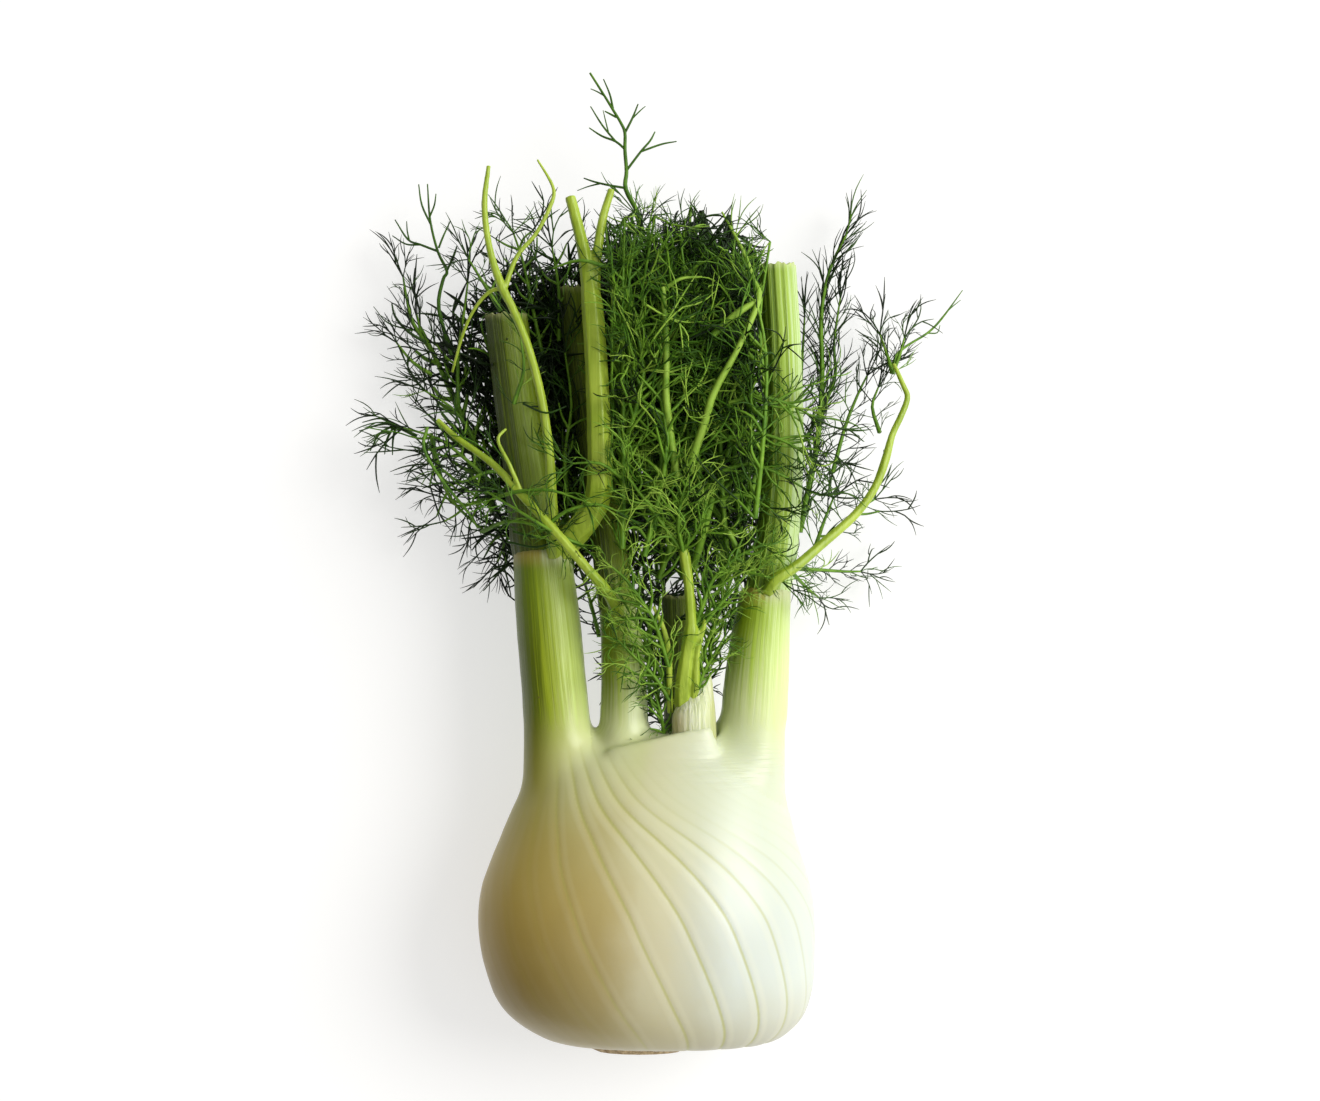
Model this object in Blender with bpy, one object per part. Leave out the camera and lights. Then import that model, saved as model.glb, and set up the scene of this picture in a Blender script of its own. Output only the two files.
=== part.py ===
"""A fennel bulb with its cut stalks and feathery leaves, lying on its broad side.

The origin is on the surface that it lies on, under the middle of the bulb.  +Y runs from the
root towards the leaf tips, +X to the right as seen from above, and +Z up.
Every stalk, branch and frond is a loft through a few stations.  A station is a centre point,
a half width across the piece and a half thickness, all in millimetres.
"""

import math

import bmesh
import bpy
from mathutils import Vector

MM = 0.001

# The bulb.
BULB_MIDDLE_Z = 31.0
NECK_TOP_Y = 58.0
GAP = 0.4
REST_PATCH_DEPTH = 0.5
BULB_FACET = 3.3
BLEND_ROUNDS = 6

# How finely the lofts are divided.
BULB_SIDES = 28
STALK_SIDES = 16
BRANCH_SIDES = 8
FROND_SIDES = 10


def clear_scene():
    """The script starts from nothing, also when it is run again from the text editor."""
    for old in list(bpy.data.objects):
        bpy.data.objects.remove(old)


def material(name, colour, roughness):
    """One plain surface."""
    made = bpy.data.materials.new(name)
    made.use_nodes = True
    surface = made.node_tree.nodes["Principled BSDF"]
    surface.inputs["Base Color"].default_value = (*colour, 1.0)
    surface.inputs["Roughness"].default_value = roughness
    surface.inputs["Metallic"].default_value = 0.0
    return made


def smooth_stations(stations, steps):
    """Stations on the smooth curve through the given ones, steps to each span."""
    rows = [Vector(row) for row in stations]
    rows = [rows[0] * 2 - rows[1], *rows, rows[-1] * 2 - rows[-2]]
    made = []
    for before, start, end, after in zip(rows, rows[1:], rows[2:], rows[3:]):
        for step in range(steps):
            t = step / steps
            made.append(
                0.5 * (2 * start + (end - before) * t
                       + (2 * before - 5 * start + 4 * end - after) * t ** 2
                       + (3 * start - before - 3 * end + after) * t ** 3)
            )
    made.append(rows[-2])
    return made


def loft(name, stations, surface, sides=STALK_SIDES, steps=3, grow=0.0, square=False):
    """A closed solid through the stations, flat at both ends.

    grow makes it fatter all round, and square keeps every ring square to Y, so that the ends
    lie flat against a straight cut.
    """
    rows = smooth_stations(stations, steps)
    centres = [Vector(row[:3]) for row in rows]
    bm = bmesh.new()
    rings = []
    for index, row in enumerate(rows):
        along = Vector((0, 1, 0))
        if not square:
            along = centres[min(index + 1, len(rows) - 1)] - centres[max(index - 1, 0)]
        across = along.cross(Vector((0, 0, 1))).normalized()
        lift = across.cross(along).normalized()
        ring = []
        for side in range(sides):
            angle = math.tau * side / sides
            point = (centres[index] + across * (row[3] + grow) * math.cos(angle)
                     + lift * (row[4] + grow) * math.sin(angle))
            ring.append(bm.verts.new(point * MM))
        rings.append(ring)
    for lower, upper in zip(rings, rings[1:]):
        for side in range(sides):
            after = (side + 1) % sides
            bm.faces.new((lower[side], lower[after], upper[after], upper[side]))
    bm.faces.new(rings[0])
    bm.faces.new(rings[-1])
    bmesh.ops.recalc_face_normals(bm, faces=bm.faces)
    mesh = bpy.data.meshes.new(name)
    bm.to_mesh(mesh)
    bm.free()
    mesh.shade_smooth()
    mesh.set_sharp_from_angle(angle=math.radians(50))
    made = bpy.data.objects.new(name, mesh)
    bpy.context.collection.objects.link(made)
    mesh.materials.append(surface)
    return made


def block(name, low, high):
    """A rectangular helper between two corners."""
    bpy.ops.mesh.primitive_cube_add(size=1)
    made = bpy.context.object
    made.name = name
    low, high = Vector(low) * MM, Vector(high) * MM
    made.location = (low + high) / 2
    made.scale = high - low
    return made


def helper(made):
    """Marks a cutter or a shape that is only joined into another."""
    made.hide_render = True
    made.display_type = "WIRE"
    return made


def boolean(target, other, operation):
    """Joins other into target, or cuts it away."""
    step = target.modifiers.new(operation.title() + " " + other.name, "BOOLEAN")
    step.operation = operation
    step.object = helper(other)
    step.solver = "EXACT"


clear_scene()

white_flesh = material("white_flesh", (0.86, 0.84, 0.66), 0.38)
green_stalk = material("green_stalk", (0.47, 0.58, 0.12), 0.4)
young_stem = material("young_stem", (0.36, 0.55, 0.10), 0.42)
leaf = material("leaf", (0.07, 0.22, 0.03), 0.55)
cork = material("cork", (0.45, 0.32, 0.18), 0.85)


# The bulb: swollen leaf bases, wider than they are thick, with a neck for each outer stalk.
BULB_BODY = [
    (5.0, -42.3, BULB_MIDDLE_Z, 25.0, 15.0),
    (4.6, -40.6, BULB_MIDDLE_Z, 33.5, 20.5),
    (3.8, -37.5, BULB_MIDDLE_Z, 39.5, 25.0),
    (1.8, -29.0, BULB_MIDDLE_Z, 47.5, 30.0),
    (-0.3, -10.0, BULB_MIDDLE_Z, 51.0, 32.3),
    (-0.6, 5.0, BULB_MIDDLE_Z, 50.2, 31.2),
    (0.0, 20.0, BULB_MIDDLE_Z, 45.0, 27.0),
    (1.0, 32.0, BULB_MIDDLE_Z, 41.0, 22.0),
    (3.0, 42.0, BULB_MIDDLE_Z, 34.0, 17.0),
    (5.5, 49.0, BULB_MIDDLE_Z, 20.0, 12.0),
    (6.5, 52.5, BULB_MIDDLE_Z, 12.0, 8.0),
]
LEFT_NECK = [
    (-20.0, 12.0, BULB_MIDDLE_Z, 15.0, 15.0),
    (-25.5, 36.0, BULB_MIDDLE_Z, 12.5, 12.0),
    (-27.0, 50.0, BULB_MIDDLE_Z, 11.0, 10.8),
    (-28.0, 66.0, BULB_MIDDLE_Z, 10.4, 10.2),
]
RIGHT_NECK = [
    (22.0, 12.0, BULB_MIDDLE_Z, 15.0, 15.0),
    (29.2, 36.0, BULB_MIDDLE_Z, 12.5, 12.0),
    (31.2, 50.0, BULB_MIDDLE_Z, 10.6, 10.6),
    (32.6, 66.0, BULB_MIDDLE_Z, 10.4, 10.2),
]
# The inner stalks stand in pockets of the bulb.
CENTRE_LEFT_STALK = [
    (-6.8, 38.0, 33.0, 6.8, 6.4),
    (-7.2, 52.0, 32.6, 7.4, 6.8),
    (-7.2, 66.0, 32.2, 7.1, 6.6),
    (-8.0, 80.0, 32.0, 6.4, 6.1),
    (-9.2, 90.3, 31.4, 5.7, 5.5),
]
CENTRE_RIGHT_STALK = [
    (11.0, 38.0, 26.5, 6.0, 5.2),
    (10.6, 58.0, 26.0, 5.8, 5.2),
    (10.0, 78.0, 25.4, 5.6, 5.1),
    (9.4, 93.0, 25.0, 5.2, 4.9),
]
HEART_STEM = [
    (10.4, 43.0, 36.4, 2.7, 2.4),
    (10.6, 54.0, 38.8, 2.8, 2.4),
    (10.6, 66.0, 41.4, 2.6, 2.3),
    (11.6, 76.0, 43.3, 2.1, 2.0),
    (12.8, 86.0, 44.9, 1.6, 1.6),
    (12.0, 98.0, 46.1, 1.4, 1.4),
    (10.6, 107.0, 46.8, 1.2, 1.2),
]
INNER_SHEATH = [
    (17.2, 43.0, 34.0, 4.6, 2.4),
    (16.8, 54.0, 34.8, 4.2, 2.4),
    (16.2, 62.0, 35.6, 2.6, 1.8),
    (16.2, 68.0, 36.4, 0.9, 0.8),
]

bulb = loft("bulb", BULB_BODY, white_flesh, BULB_SIDES, square=True)
for neck_name, neck in (("left_neck", LEFT_NECK), ("right_neck", RIGHT_NECK)):
    boolean(bulb, loft(neck_name, neck, white_flesh, square=True), "UNION")
facets = bulb.modifiers.new("Even facets", "REMESH")
facets.mode = "VOXEL"
facets.voxel_size = BULB_FACET * MM
blend = bulb.modifiers.new("Blend the necks", "SMOOTH")
blend.factor = 0.5
blend.iterations = BLEND_ROUNDS
boolean(bulb, block("above_the_necks", (-60, NECK_TOP_Y, -5), (60, 90, 70)), "DIFFERENCE")
boolean(bulb, block("under_the_bulb", (-60, -60, -9), (60, 90, 0)), "DIFFERENCE")
boolean(bulb, block("below_the_root", (-60, -60, -5), (60, -41.2, 70)), "DIFFERENCE")
for pocket, stations in (("centre_left_pocket", CENTRE_LEFT_STALK),
                         ("centre_right_pocket", CENTRE_RIGHT_STALK),
                         ("heart_pocket", HEART_STEM),
                         ("inner_sheath_pocket", INNER_SHEATH)):
    boolean(bulb, loft(pocket, stations, white_flesh, steps=2, grow=GAP), "DIFFERENCE")

# The cut root: a corky plate across the bottom of the bulb.
ROOT_PLATE = [
    (-3.0, -41.2 - GAP, BULB_MIDDLE_Z, 15.5, 10.0),
    (-3.0, -42.4, BULB_MIDDLE_Z, 15.0, 9.6),
    (-2.6, -43.6, BULB_MIDDLE_Z, 12.5, 8.0),
]
loft("root_plate", ROOT_PLATE, cork, steps=1, square=True)

# The two outer stalks, up to the joint where each one divides.
LEFT_STALK = [
    (-27.4, NECK_TOP_Y + GAP, BULB_MIDDLE_Z, 10.2, 10.0),
    (-28.4, 68.0, BULB_MIDDLE_Z, 10.0, 9.8),
    (-30.0, 86.0, 30.6, 9.9, 9.5),
    (-32.0, 107.0, 30.0, 8.9, 8.8),
]
RIGHT_STALK = [
    (31.8, NECK_TOP_Y + GAP, BULB_MIDDLE_Z, 10.2, 10.0),
    (32.6, 68.0, BULB_MIDDLE_Z, 9.9, 9.7),
    (33.6, 80.0, BULB_MIDDLE_Z, 9.1, 9.0),
    (35.4, 95.6, BULB_MIDDLE_Z, 7.8, 7.8),
]
loft("left_stalk", LEFT_STALK, green_stalk, square=True)
loft("right_stalk", RIGHT_STALK, green_stalk, square=True)
loft("centre_left_stalk", CENTRE_LEFT_STALK, green_stalk, steps=2)
loft("centre_right_stalk", CENTRE_RIGHT_STALK, green_stalk, steps=2)
loft("inner_sheath", INNER_SHEATH, white_flesh, FROND_SIDES, steps=2)
loft("heart_stem", HEART_STEM, young_stem, FROND_SIDES, steps=2)

# The stalks above the joints, each cut off square by a knife.
LEFT_UPPER_STALK = [
    (-33.0, 107.6, 29.0, 8.2, 7.8),
    (-34.2, 116.0, 28.0, 7.8, 7.4),
    (-36.0, 128.0, 26.8, 7.2, 6.9),
    (-39.6, 152.0, 25.0, 6.9, 6.5),
    (-43.2, 178.5, 24.4, 6.5, 6.1),
]
RIGHT_UPPER_STALK = [
    (36.2, 96.4, BULB_MIDDLE_Z, 7.2, 7.0),
    (38.7, 110.0, BULB_MIDDLE_Z, 6.3, 6.2),
    (40.5, 136.0, BULB_MIDDLE_Z, 6.0, 6.0),
    (40.2, 166.0, BULB_MIDDLE_Z, 5.7, 5.7),
    (38.7, 193.0, BULB_MIDDLE_Z, 5.6, 5.6),
]
CENTRE_LEFT_UPPER_STALK = [
    (-9.8, 92.0, 28.5, 5.4, 5.0),
    (-14.0, 125.0, 25.0, 5.2, 4.8),
    (-19.0, 158.0, 21.8, 5.0, 4.6),
    (-22.8, 187.0, 20.5, 4.8, 4.4),
]
loft("left_upper_stalk", LEFT_UPPER_STALK, green_stalk, square=True)
loft("right_upper_stalk", RIGHT_UPPER_STALK, green_stalk, square=True)
loft("centre_left_upper_stalk", CENTRE_LEFT_UPPER_STALK, green_stalk, square=True)

# The side branches.  Each one is a main loft with its twigs joined in.
BRANCHES = {
    "left_forked_branch": [
        [(-20.6, 111.0, 35.0, 3.1, 3.0), (-15.2, 119.5, 39.6, 3.2, 3.1),
         (-14.2, 128.0, 42.4, 3.2, 3.1), (-14.4, 142.0, 43.4, 3.1, 3.0),
         (-15.3, 162.0, 43.4, 2.8, 2.7), (-16.6, 182.0, 42.6, 2.6, 2.5),
         (-19.2, 196.0, 41.6, 1.9, 1.8), (-23.1, 212.0, 40.6, 1.5, 1.5)],
        [(-16.6, 183.0, 42.6, 1.9, 1.8), (-14.6, 199.0, 41.6, 1.4, 1.3),
         (-10.6, 214.5, 39.6, 1.1, 1.1)],
    ],
    "left_slender_branch": [
        [(-28.3, 110.5, 39.6, 1.6, 1.6), (-29.2, 135.0, 42.6, 1.5, 1.5),
         (-31.5, 151.5, 43.2, 1.4, 1.4), (-35.4, 166.5, 43.2, 1.3, 1.3),
         (-40.0, 178.0, 42.4, 1.2, 1.2), (-43.5, 185.0, 41.4, 1.2, 1.2),
         (-47.0, 196.0, 40.4, 1.1, 1.1), (-48.6, 209.0, 39.4, 1.1, 1.1),
         (-47.4, 221.0, 38.4, 0.9, 0.9)],
        [(-42.6, 183.6, 41.6, 0.9, 0.9), (-39.0, 193.5, 40.4, 0.9, 0.9),
         (-33.0, 201.0, 39.4, 0.8, 0.8), (-28.6, 210.0, 38.4, 0.8, 0.8),
         (-28.4, 215.0, 37.9, 0.7, 0.7), (-33.0, 223.0, 37.4, 0.6, 0.6)],
        [(-43.2, 184.4, 41.4, 0.9, 0.9), (-47.5, 183.0, 39.4, 0.8, 0.8),
         (-52.0, 178.0, 36.4, 0.8, 0.8), (-55.5, 171.0, 32.4, 0.7, 0.7),
         (-59.0, 160.0, 27.4, 0.6, 0.6)],
    ],
    "crossing_branch": [
        [(-9.6, 91.2, 41.0, 1.6, 1.6), (-13.0, 94.5, 44.6, 1.6, 1.6),
         (-17.4, 100.5, 46.6, 1.5, 1.5), (-26.4, 111.0, 46.5, 1.4, 1.4),
         (-37.5, 123.0, 44.0, 1.3, 1.3), (-46.0, 132.0, 40.5, 1.2, 1.2),
         (-57.0, 140.0, 36.5, 1.0, 1.0), (-63.0, 145.5, 33.5, 0.9, 0.9)],
        [(-37.0, 122.6, 44.2, 0.9, 0.9), (-41.0, 132.0, 45.0, 0.8, 0.8),
         (-44.3, 139.0, 44.0, 0.7, 0.7), (-42.0, 142.5, 43.0, 0.6, 0.6)],
    ],
    "right_branch": [
        [(38.0, 98.4, 40.6, 1.9, 1.9), (44.0, 101.6, 39.2, 1.8, 1.8),
         (51.6, 108.0, 35.4, 1.8, 1.8), (62.0, 117.0, 31.4, 1.7, 1.7),
         (68.0, 125.0, 29.4, 1.5, 1.5), (73.5, 141.0, 27.0, 1.2, 1.2),
         (78.3, 151.5, 25.0, 1.0, 1.0), (77.0, 156.5, 24.4, 0.9, 0.9),
         (74.2, 163.0, 23.6, 0.8, 0.8)],
    ],
}
for name, lofts in BRANCHES.items():
    branch = loft(name, lofts[0], young_stem, BRANCH_SIDES, steps=2)
    for number, twig in enumerate(lofts[1:], start=1):
        twig_name = f"{name}_twig_{number}"
        boolean(branch, loft(twig_name, twig, young_stem, BRANCH_SIDES, steps=2), "UNION")

# The fronds: each feathery leaf is a soft solid of its outer shape.
FRONDS = {
    "top_frond": [
        (-3.6, 206.5, 24.0, 2.0, 1.5), (-6.8, 218.0, 24.0, 6.0, 2.0),
        (-7.0, 232.0, 24.0, 7.0, 2.0), (-12.0, 243.0, 23.0, 4.5, 1.6),
        (-17.4, 251.0, 22.0, 1.0, 0.8),
    ],
    "left_upper_frond": [
        (-50.0, 124.0, 7.0, 4.0, 3.0), (-58.0, 146.0, 7.5, 11.0, 5.5),
        (-66.0, 168.0, 8.0, 14.0, 6.5), (-71.0, 192.0, 8.0, 12.0, 5.5),
        (-69.0, 217.0, 9.0, 3.0, 2.0),
    ],
    "left_lower_frond": [
        (-84.0, 144.0, 19.0, 2.0, 1.5), (-75.0, 135.0, 21.0, 9.0, 4.0),
        (-63.0, 119.0, 22.0, 13.0, 5.5), (-52.0, 102.0, 18.0, 8.0, 4.5),
        (-46.0, 88.0, 14.0, 2.5, 2.0),
    ],
    "under_left_frond": [
        (-22.0, 90.0, 7.0, 6.0, 4.0), (-26.0, 118.0, 7.6, 14.0, 6.6),
        (-28.0, 150.0, 7.6, 16.0, 6.8), (-30.0, 182.0, 7.4, 15.0, 6.6),
        (-30.0, 208.0, 7.0, 7.0, 4.0),
    ],
    "under_middle_frond": [
        (8.0, 82.0, 7.0, 6.0, 4.0), (11.0, 110.0, 8.0, 18.0, 6.6),
        (12.0, 150.0, 8.4, 22.0, 7.6), (12.0, 190.0, 8.0, 19.0, 7.0),
        (10.0, 215.0, 8.0, 8.0, 4.0),
    ],
    "middle_frond": [
        (3.0, 97.0, 32.0, 4.0, 5.0), (3.0, 115.0, 34.0, 7.5, 10.0),
        (2.6, 150.0, 35.0, 10.0, 13.0), (3.0, 185.0, 33.0, 10.5, 11.5),
        (5.0, 213.0, 28.0, 6.0, 6.0),
    ],
    "middle_right_frond": [
        (22.0, 99.0, 28.0, 4.0, 6.0), (24.0, 120.0, 31.0, 6.5, 10.0),
        (24.5, 150.0, 33.0, 7.6, 12.0), (24.0, 180.0, 31.0, 7.6, 11.0),
        (21.0, 206.0, 27.0, 5.0, 6.0),
    ],
    "over_stalk_frond": [
        (31.0, 151.0, 48.6, 4.0, 2.4), (38.0, 150.0, 45.0, 10.0, 3.4),
        (47.0, 147.0, 43.2, 10.0, 3.2), (56.0, 145.0, 42.0, 4.0, 2.0),
    ],
    "heart_left_frond": [
        (5.4, 60.0, 42.6, 1.6, 1.6), (4.0, 74.0, 45.4, 4.6, 2.8),
        (-1.6, 88.0, 46.6, 5.2, 2.8), (-5.0, 98.0, 48.0, 2.0, 1.5),
    ],
    "heart_right_frond": [
        (15.2, 63.0, 43.4, 1.5, 1.5), (19.0, 76.0, 45.4, 3.8, 2.4),
        (25.0, 92.0, 46.0, 5.0, 2.4), (32.0, 106.0, 45.0, 3.0, 2.0),
    ],
    "heart_top_frond": [
        (9.8, 109.5, 49.5, 3.0, 2.0), (9.0, 122.0, 51.5, 8.0, 2.6),
        (10.0, 136.0, 53.5, 6.0, 2.2), (13.0, 146.0, 54.0, 2.0, 1.2),
    ],
    "right_tall_frond": [
        (47.5, 110.0, 19.0, 1.5, 1.5), (51.0, 128.0, 13.0, 5.0, 4.0),
        (54.0, 160.0, 8.0, 7.0, 5.0), (57.5, 190.0, 7.5, 6.5, 4.5),
        (68.0, 215.0, 8.0, 2.0, 1.5),
    ],
    "far_right_frond": [
        (73.8, 164.6, 22.4, 1.6, 1.4), (75.0, 172.0, 17.0, 7.0, 3.0),
        (80.0, 180.0, 11.0, 7.0, 4.0), (90.0, 185.0, 7.0, 4.0, 3.0),
        (97.0, 188.0, 5.0, 1.0, 0.8),
    ],
    "low_right_upper_frond": [
        (58.0, 115.4, 23.0, 1.8, 1.8), (65.0, 121.0, 18.0, 6.0, 3.0),
        (77.0, 128.0, 13.0, 2.0, 1.5),
    ],
    "low_right_lower_frond": [
        (46.5, 97.0, 26.0, 2.5, 2.0), (58.0, 98.0, 16.0, 7.0, 3.4),
        (71.0, 98.0, 8.0, 4.0, 2.4), (77.0, 97.0, 6.0, 1.2, 1.0),
    ],
    "left_inner_frond": [
        (-36.5, 190.0, 21.0, 6.0, 3.0), (-38.0, 202.0, 20.0, 8.0, 4.0),
        (-41.0, 215.0, 18.0, 3.0, 2.0),
    ],
}
for name, stations in FRONDS.items():
    loft(name, stations, leaf, FROND_SIDES, steps=2)
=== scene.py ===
"""A fennel bulb lying on its side, with its cut stalks and feathery leaves.

Lengths are written in millimetres and turned into metres by MM.  +Y runs from the root to the
leaf tips, +X to the right as seen from above, and +Z up.
"""

import math
import random

import bpy
import numpy as np
from mathutils import Matrix, Vector


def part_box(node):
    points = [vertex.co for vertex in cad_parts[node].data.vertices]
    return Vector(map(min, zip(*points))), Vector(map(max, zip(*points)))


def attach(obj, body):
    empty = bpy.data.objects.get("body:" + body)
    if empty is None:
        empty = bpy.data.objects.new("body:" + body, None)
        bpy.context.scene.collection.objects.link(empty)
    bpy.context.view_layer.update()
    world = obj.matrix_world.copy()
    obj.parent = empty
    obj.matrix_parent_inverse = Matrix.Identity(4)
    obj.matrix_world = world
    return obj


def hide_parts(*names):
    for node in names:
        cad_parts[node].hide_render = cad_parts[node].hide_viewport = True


MM = 0.001
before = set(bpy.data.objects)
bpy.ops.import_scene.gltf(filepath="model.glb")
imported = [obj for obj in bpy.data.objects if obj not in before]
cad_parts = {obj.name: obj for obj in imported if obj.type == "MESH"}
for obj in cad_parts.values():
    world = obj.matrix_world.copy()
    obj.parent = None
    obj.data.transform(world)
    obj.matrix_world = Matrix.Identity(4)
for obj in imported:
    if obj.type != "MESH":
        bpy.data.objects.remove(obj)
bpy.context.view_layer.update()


# ---------------------------------------------------------------------------------------------
# The studio: a camera straight above, a pale table, and soft daylight from a window on the
# right of a room that is dim on its left.
# ---------------------------------------------------------------------------------------------
LENS_MM = 85.0
SENSOR_MM = 36.0
VIEW_WIDTH = 396.0
VIEW_CENTRE = Vector((3.6, 106.4, 31.0))

camera_data = bpy.data.cameras.new("camera")
camera_data.lens = LENS_MM
camera_data.sensor_width = SENSOR_MM
camera_data.clip_start = 0.01
camera_data.clip_end = 20.0
camera = bpy.data.objects.new("camera", camera_data)
bpy.context.collection.objects.link(camera)
camera.location = (VIEW_CENTRE + Vector((0, 0, VIEW_WIDTH * LENS_MM / SENSOR_MM))) * MM
bpy.context.scene.camera = camera
bpy.context.scene.view_settings.view_transform = "Standard"


def deselect():
    """Nothing stays selected, so that the next operator acts on its own piece only."""
    bpy.ops.object.select_all(action="DESELECT")


SUN_FROM = (0.78, 0.30, 0.76)
sun_data = bpy.data.lights.new("window_light", "SUN")
sun_data.energy = 2.35
sun_data.angle = math.radians(36)
sun_data.color = (1.0, 0.99, 0.96)
sun = bpy.data.objects.new("window_light", sun_data)
bpy.context.collection.objects.link(sun)
sun.location = SUN_FROM
sun.rotation_euler = Vector(SUN_FROM).to_track_quat("Z", "Y").to_euler()


class Paint:
    """One output of a material's nodes, on which sums are written as in Python."""

    def __init__(self, tree, socket=None):
        self.tree = tree
        self.socket = socket

    def node(self, kind, settings=None, inputs=None, output=0):
        """Adds a node with its settings and inputs, and gives one of its outputs."""
        made = self.tree.nodes.new(kind)
        for setting, value in (settings or {}).items():
            if setting == "stops":
                ramp = made.color_ramp.elements
                while len(ramp) < len(value):
                    ramp.new(0.5)
                for stop, (place, colour) in zip(ramp, value):
                    stop.position = place
                    stop.color = (*colour, 1.0)
            else:
                setattr(made, setting, value)
        for name, value in (inputs or {}).items():
            if isinstance(value, Paint):
                self.tree.links.new(value.socket, made.inputs[name])
            else:
                made.inputs[name].default_value = value
        return Paint(self.tree, made.outputs[output])

    def math(self, operation, first, second=0.0, clamp=False):
        """A sum of two numbers, either of which may be an output."""
        settings = {"operation": operation, "use_clamp": clamp}
        return self.node("ShaderNodeMath", settings, {0: first, 1: second})

    def __add__(self, other):
        return self.math("ADD", self, other)

    def __sub__(self, other):
        return self.math("SUBTRACT", self, other)

    def __rsub__(self, other):
        return self.math("SUBTRACT", other, self)

    def __mul__(self, other):
        return self.math("MULTIPLY", self, other)

    __radd__ = __add__
    __rmul__ = __mul__

    def clamped(self):
        """The number kept between 0 and 1."""
        return self.math("ADD", self, 0.0, clamp=True)

    def rise(self, low, high):
        """Goes smoothly from 0 at low to 1 at high."""
        inputs = {"Value": self, "From Min": low, "From Max": high}
        return self.node("ShaderNodeMapRange", {"interpolation_type": "SMOOTHSTEP"}, inputs)

    def mix(self, first, second):
        """The first colour where this is 0, and the second where it is 1."""
        def full(colour):
            return colour if isinstance(colour, Paint) else (*colour, 1.0)
        settings = {"data_type": "RGBA"}
        inputs = {0: self, 6: full(first), 7: full(second)}
        return self.node("ShaderNodeMix", settings, inputs, output=2)

    def noise(self, scale, detail=3.0, roughness=0.5, vector=None):
        """Soft noise between 0 and 1, on Object coordinates unless a vector is given."""
        vector = vector or self.object_place()
        inputs = {"Vector": vector, "Scale": scale, "Detail": detail, "Roughness": roughness}
        return self.node("ShaderNodeTexNoise", None, inputs)

    def stretched(self, scales, vector=None):
        """Coordinates with each axis multiplied by its own scale."""
        vector = vector or self.object_place()
        settings = {"operation": "MULTIPLY"}
        return self.node("ShaderNodeVectorMath", settings, {0: vector, 1: scales})

    def object_place(self):
        """The Object coordinates, in metres."""
        return self.node("ShaderNodeTexCoord", output=3)

    def axis(self, letter):
        """One Object coordinate, in millimetres."""
        parts = self.node("ShaderNodeSeparateXYZ", None, {0: self.object_place()},
                          output="XYZ".index(letter))
        return parts * (1 / MM)

    def attribute(self, name, output=2):
        """A value that is stored on the mesh: output 1 is a vector, and 2 a number."""
        return self.node("ShaderNodeAttribute", {"attribute_name": name}, output=output)


def new_material(name, **constants):
    """A material with its Principled surface, and a Paint to draw on it."""
    made = bpy.data.materials.new(name)
    made.use_nodes = True
    surface = made.node_tree.nodes["Principled BSDF"]
    for socket, value in constants.items():
        surface.inputs[socket.replace("_", " ")].default_value = value
    return made, surface, Paint(made.node_tree)


def feed(surface, paint, colour=None, roughness=None, height=None, depth=0.0002):
    """Joins what varies to the surface: colour, roughness, and the height for its bumps."""
    links = paint.tree.links
    if colour:
        links.new(colour.socket, surface.inputs["Base Color"])
    if roughness:
        links.new(roughness.socket, surface.inputs["Roughness"])
    if height:
        inputs = {"Height": height, "Distance": depth, "Strength": 1.0}
        bump = paint.node("ShaderNodeBump", None, inputs)
        links.new(bump.socket, surface.inputs["Normal"])


world = bpy.data.worlds.new("room")
bpy.context.scene.world = world
world.use_nodes = True
backdrop = world.node_tree.nodes["Background"]
paint = Paint(world.node_tree)
heading = paint.node("ShaderNodeTexCoord")
from_right = paint.node("ShaderNodeSeparateXYZ", None, {0: heading}).rise(-1.0, 0.75)
room = from_right.mix((0.05, 0.035, 0.015), (1.0, 1.0, 0.98))
seen = paint.node("ShaderNodeLightPath")
world.node_tree.links.new(seen.mix(room, (0.9, 0.9, 0.89)).socket, backdrop.inputs["Color"])
backdrop.inputs["Strength"].default_value = 0.88

TABLE_SIZE = 6.0
deselect()
bpy.ops.mesh.primitive_plane_add(size=TABLE_SIZE, location=(0, 0, 0))
table = bpy.context.object
table.name = "table"
# The white table glows a little, as a light table does, so that shadows stay faint.
table_paint, table_surface, paint = new_material(
    "table_paint", Roughness=0.85, Emission_Color=(1.0, 1.0, 0.995, 1.0), Emission_Strength=0.62)
feed(table_surface, paint, colour=paint.noise(3.0).mix((0.42, 0.42, 0.42), (0.43, 0.43, 0.43)))
table.data.materials.append(table_paint)


# ---------------------------------------------------------------------------------------------
# The bulb: swollen pale leaf bases that wrap round each other, running up into two thick green
# stalks.  One skin covers them, because they grow as one.
# ---------------------------------------------------------------------------------------------
SKIN_FINENESS = 0.8
SKIN_SMOOTHING = 24
SHEATH_SMOOTHING = 5
NECK_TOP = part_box("left_stalk")[0].y
NECK_LAP = 3.0 * MM

# How the bulb's half width and middle run along Y.
OUTLINE_Y = (-43, -40, -34.5, -25.5, -10, 1.5, 13.5, 25.5, 37.5, 50)
OUTLINE_LEFT = (-20, -31, -39.6, -47.1, -50.7, -49.8, -47.4, -42.6, -38.4, -37)
OUTLINE_RIGHT = (33, 39, 45.3, 49.2, 50.1, 49.8, 46.8, 43.8, 40.5, 40.5)
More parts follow.
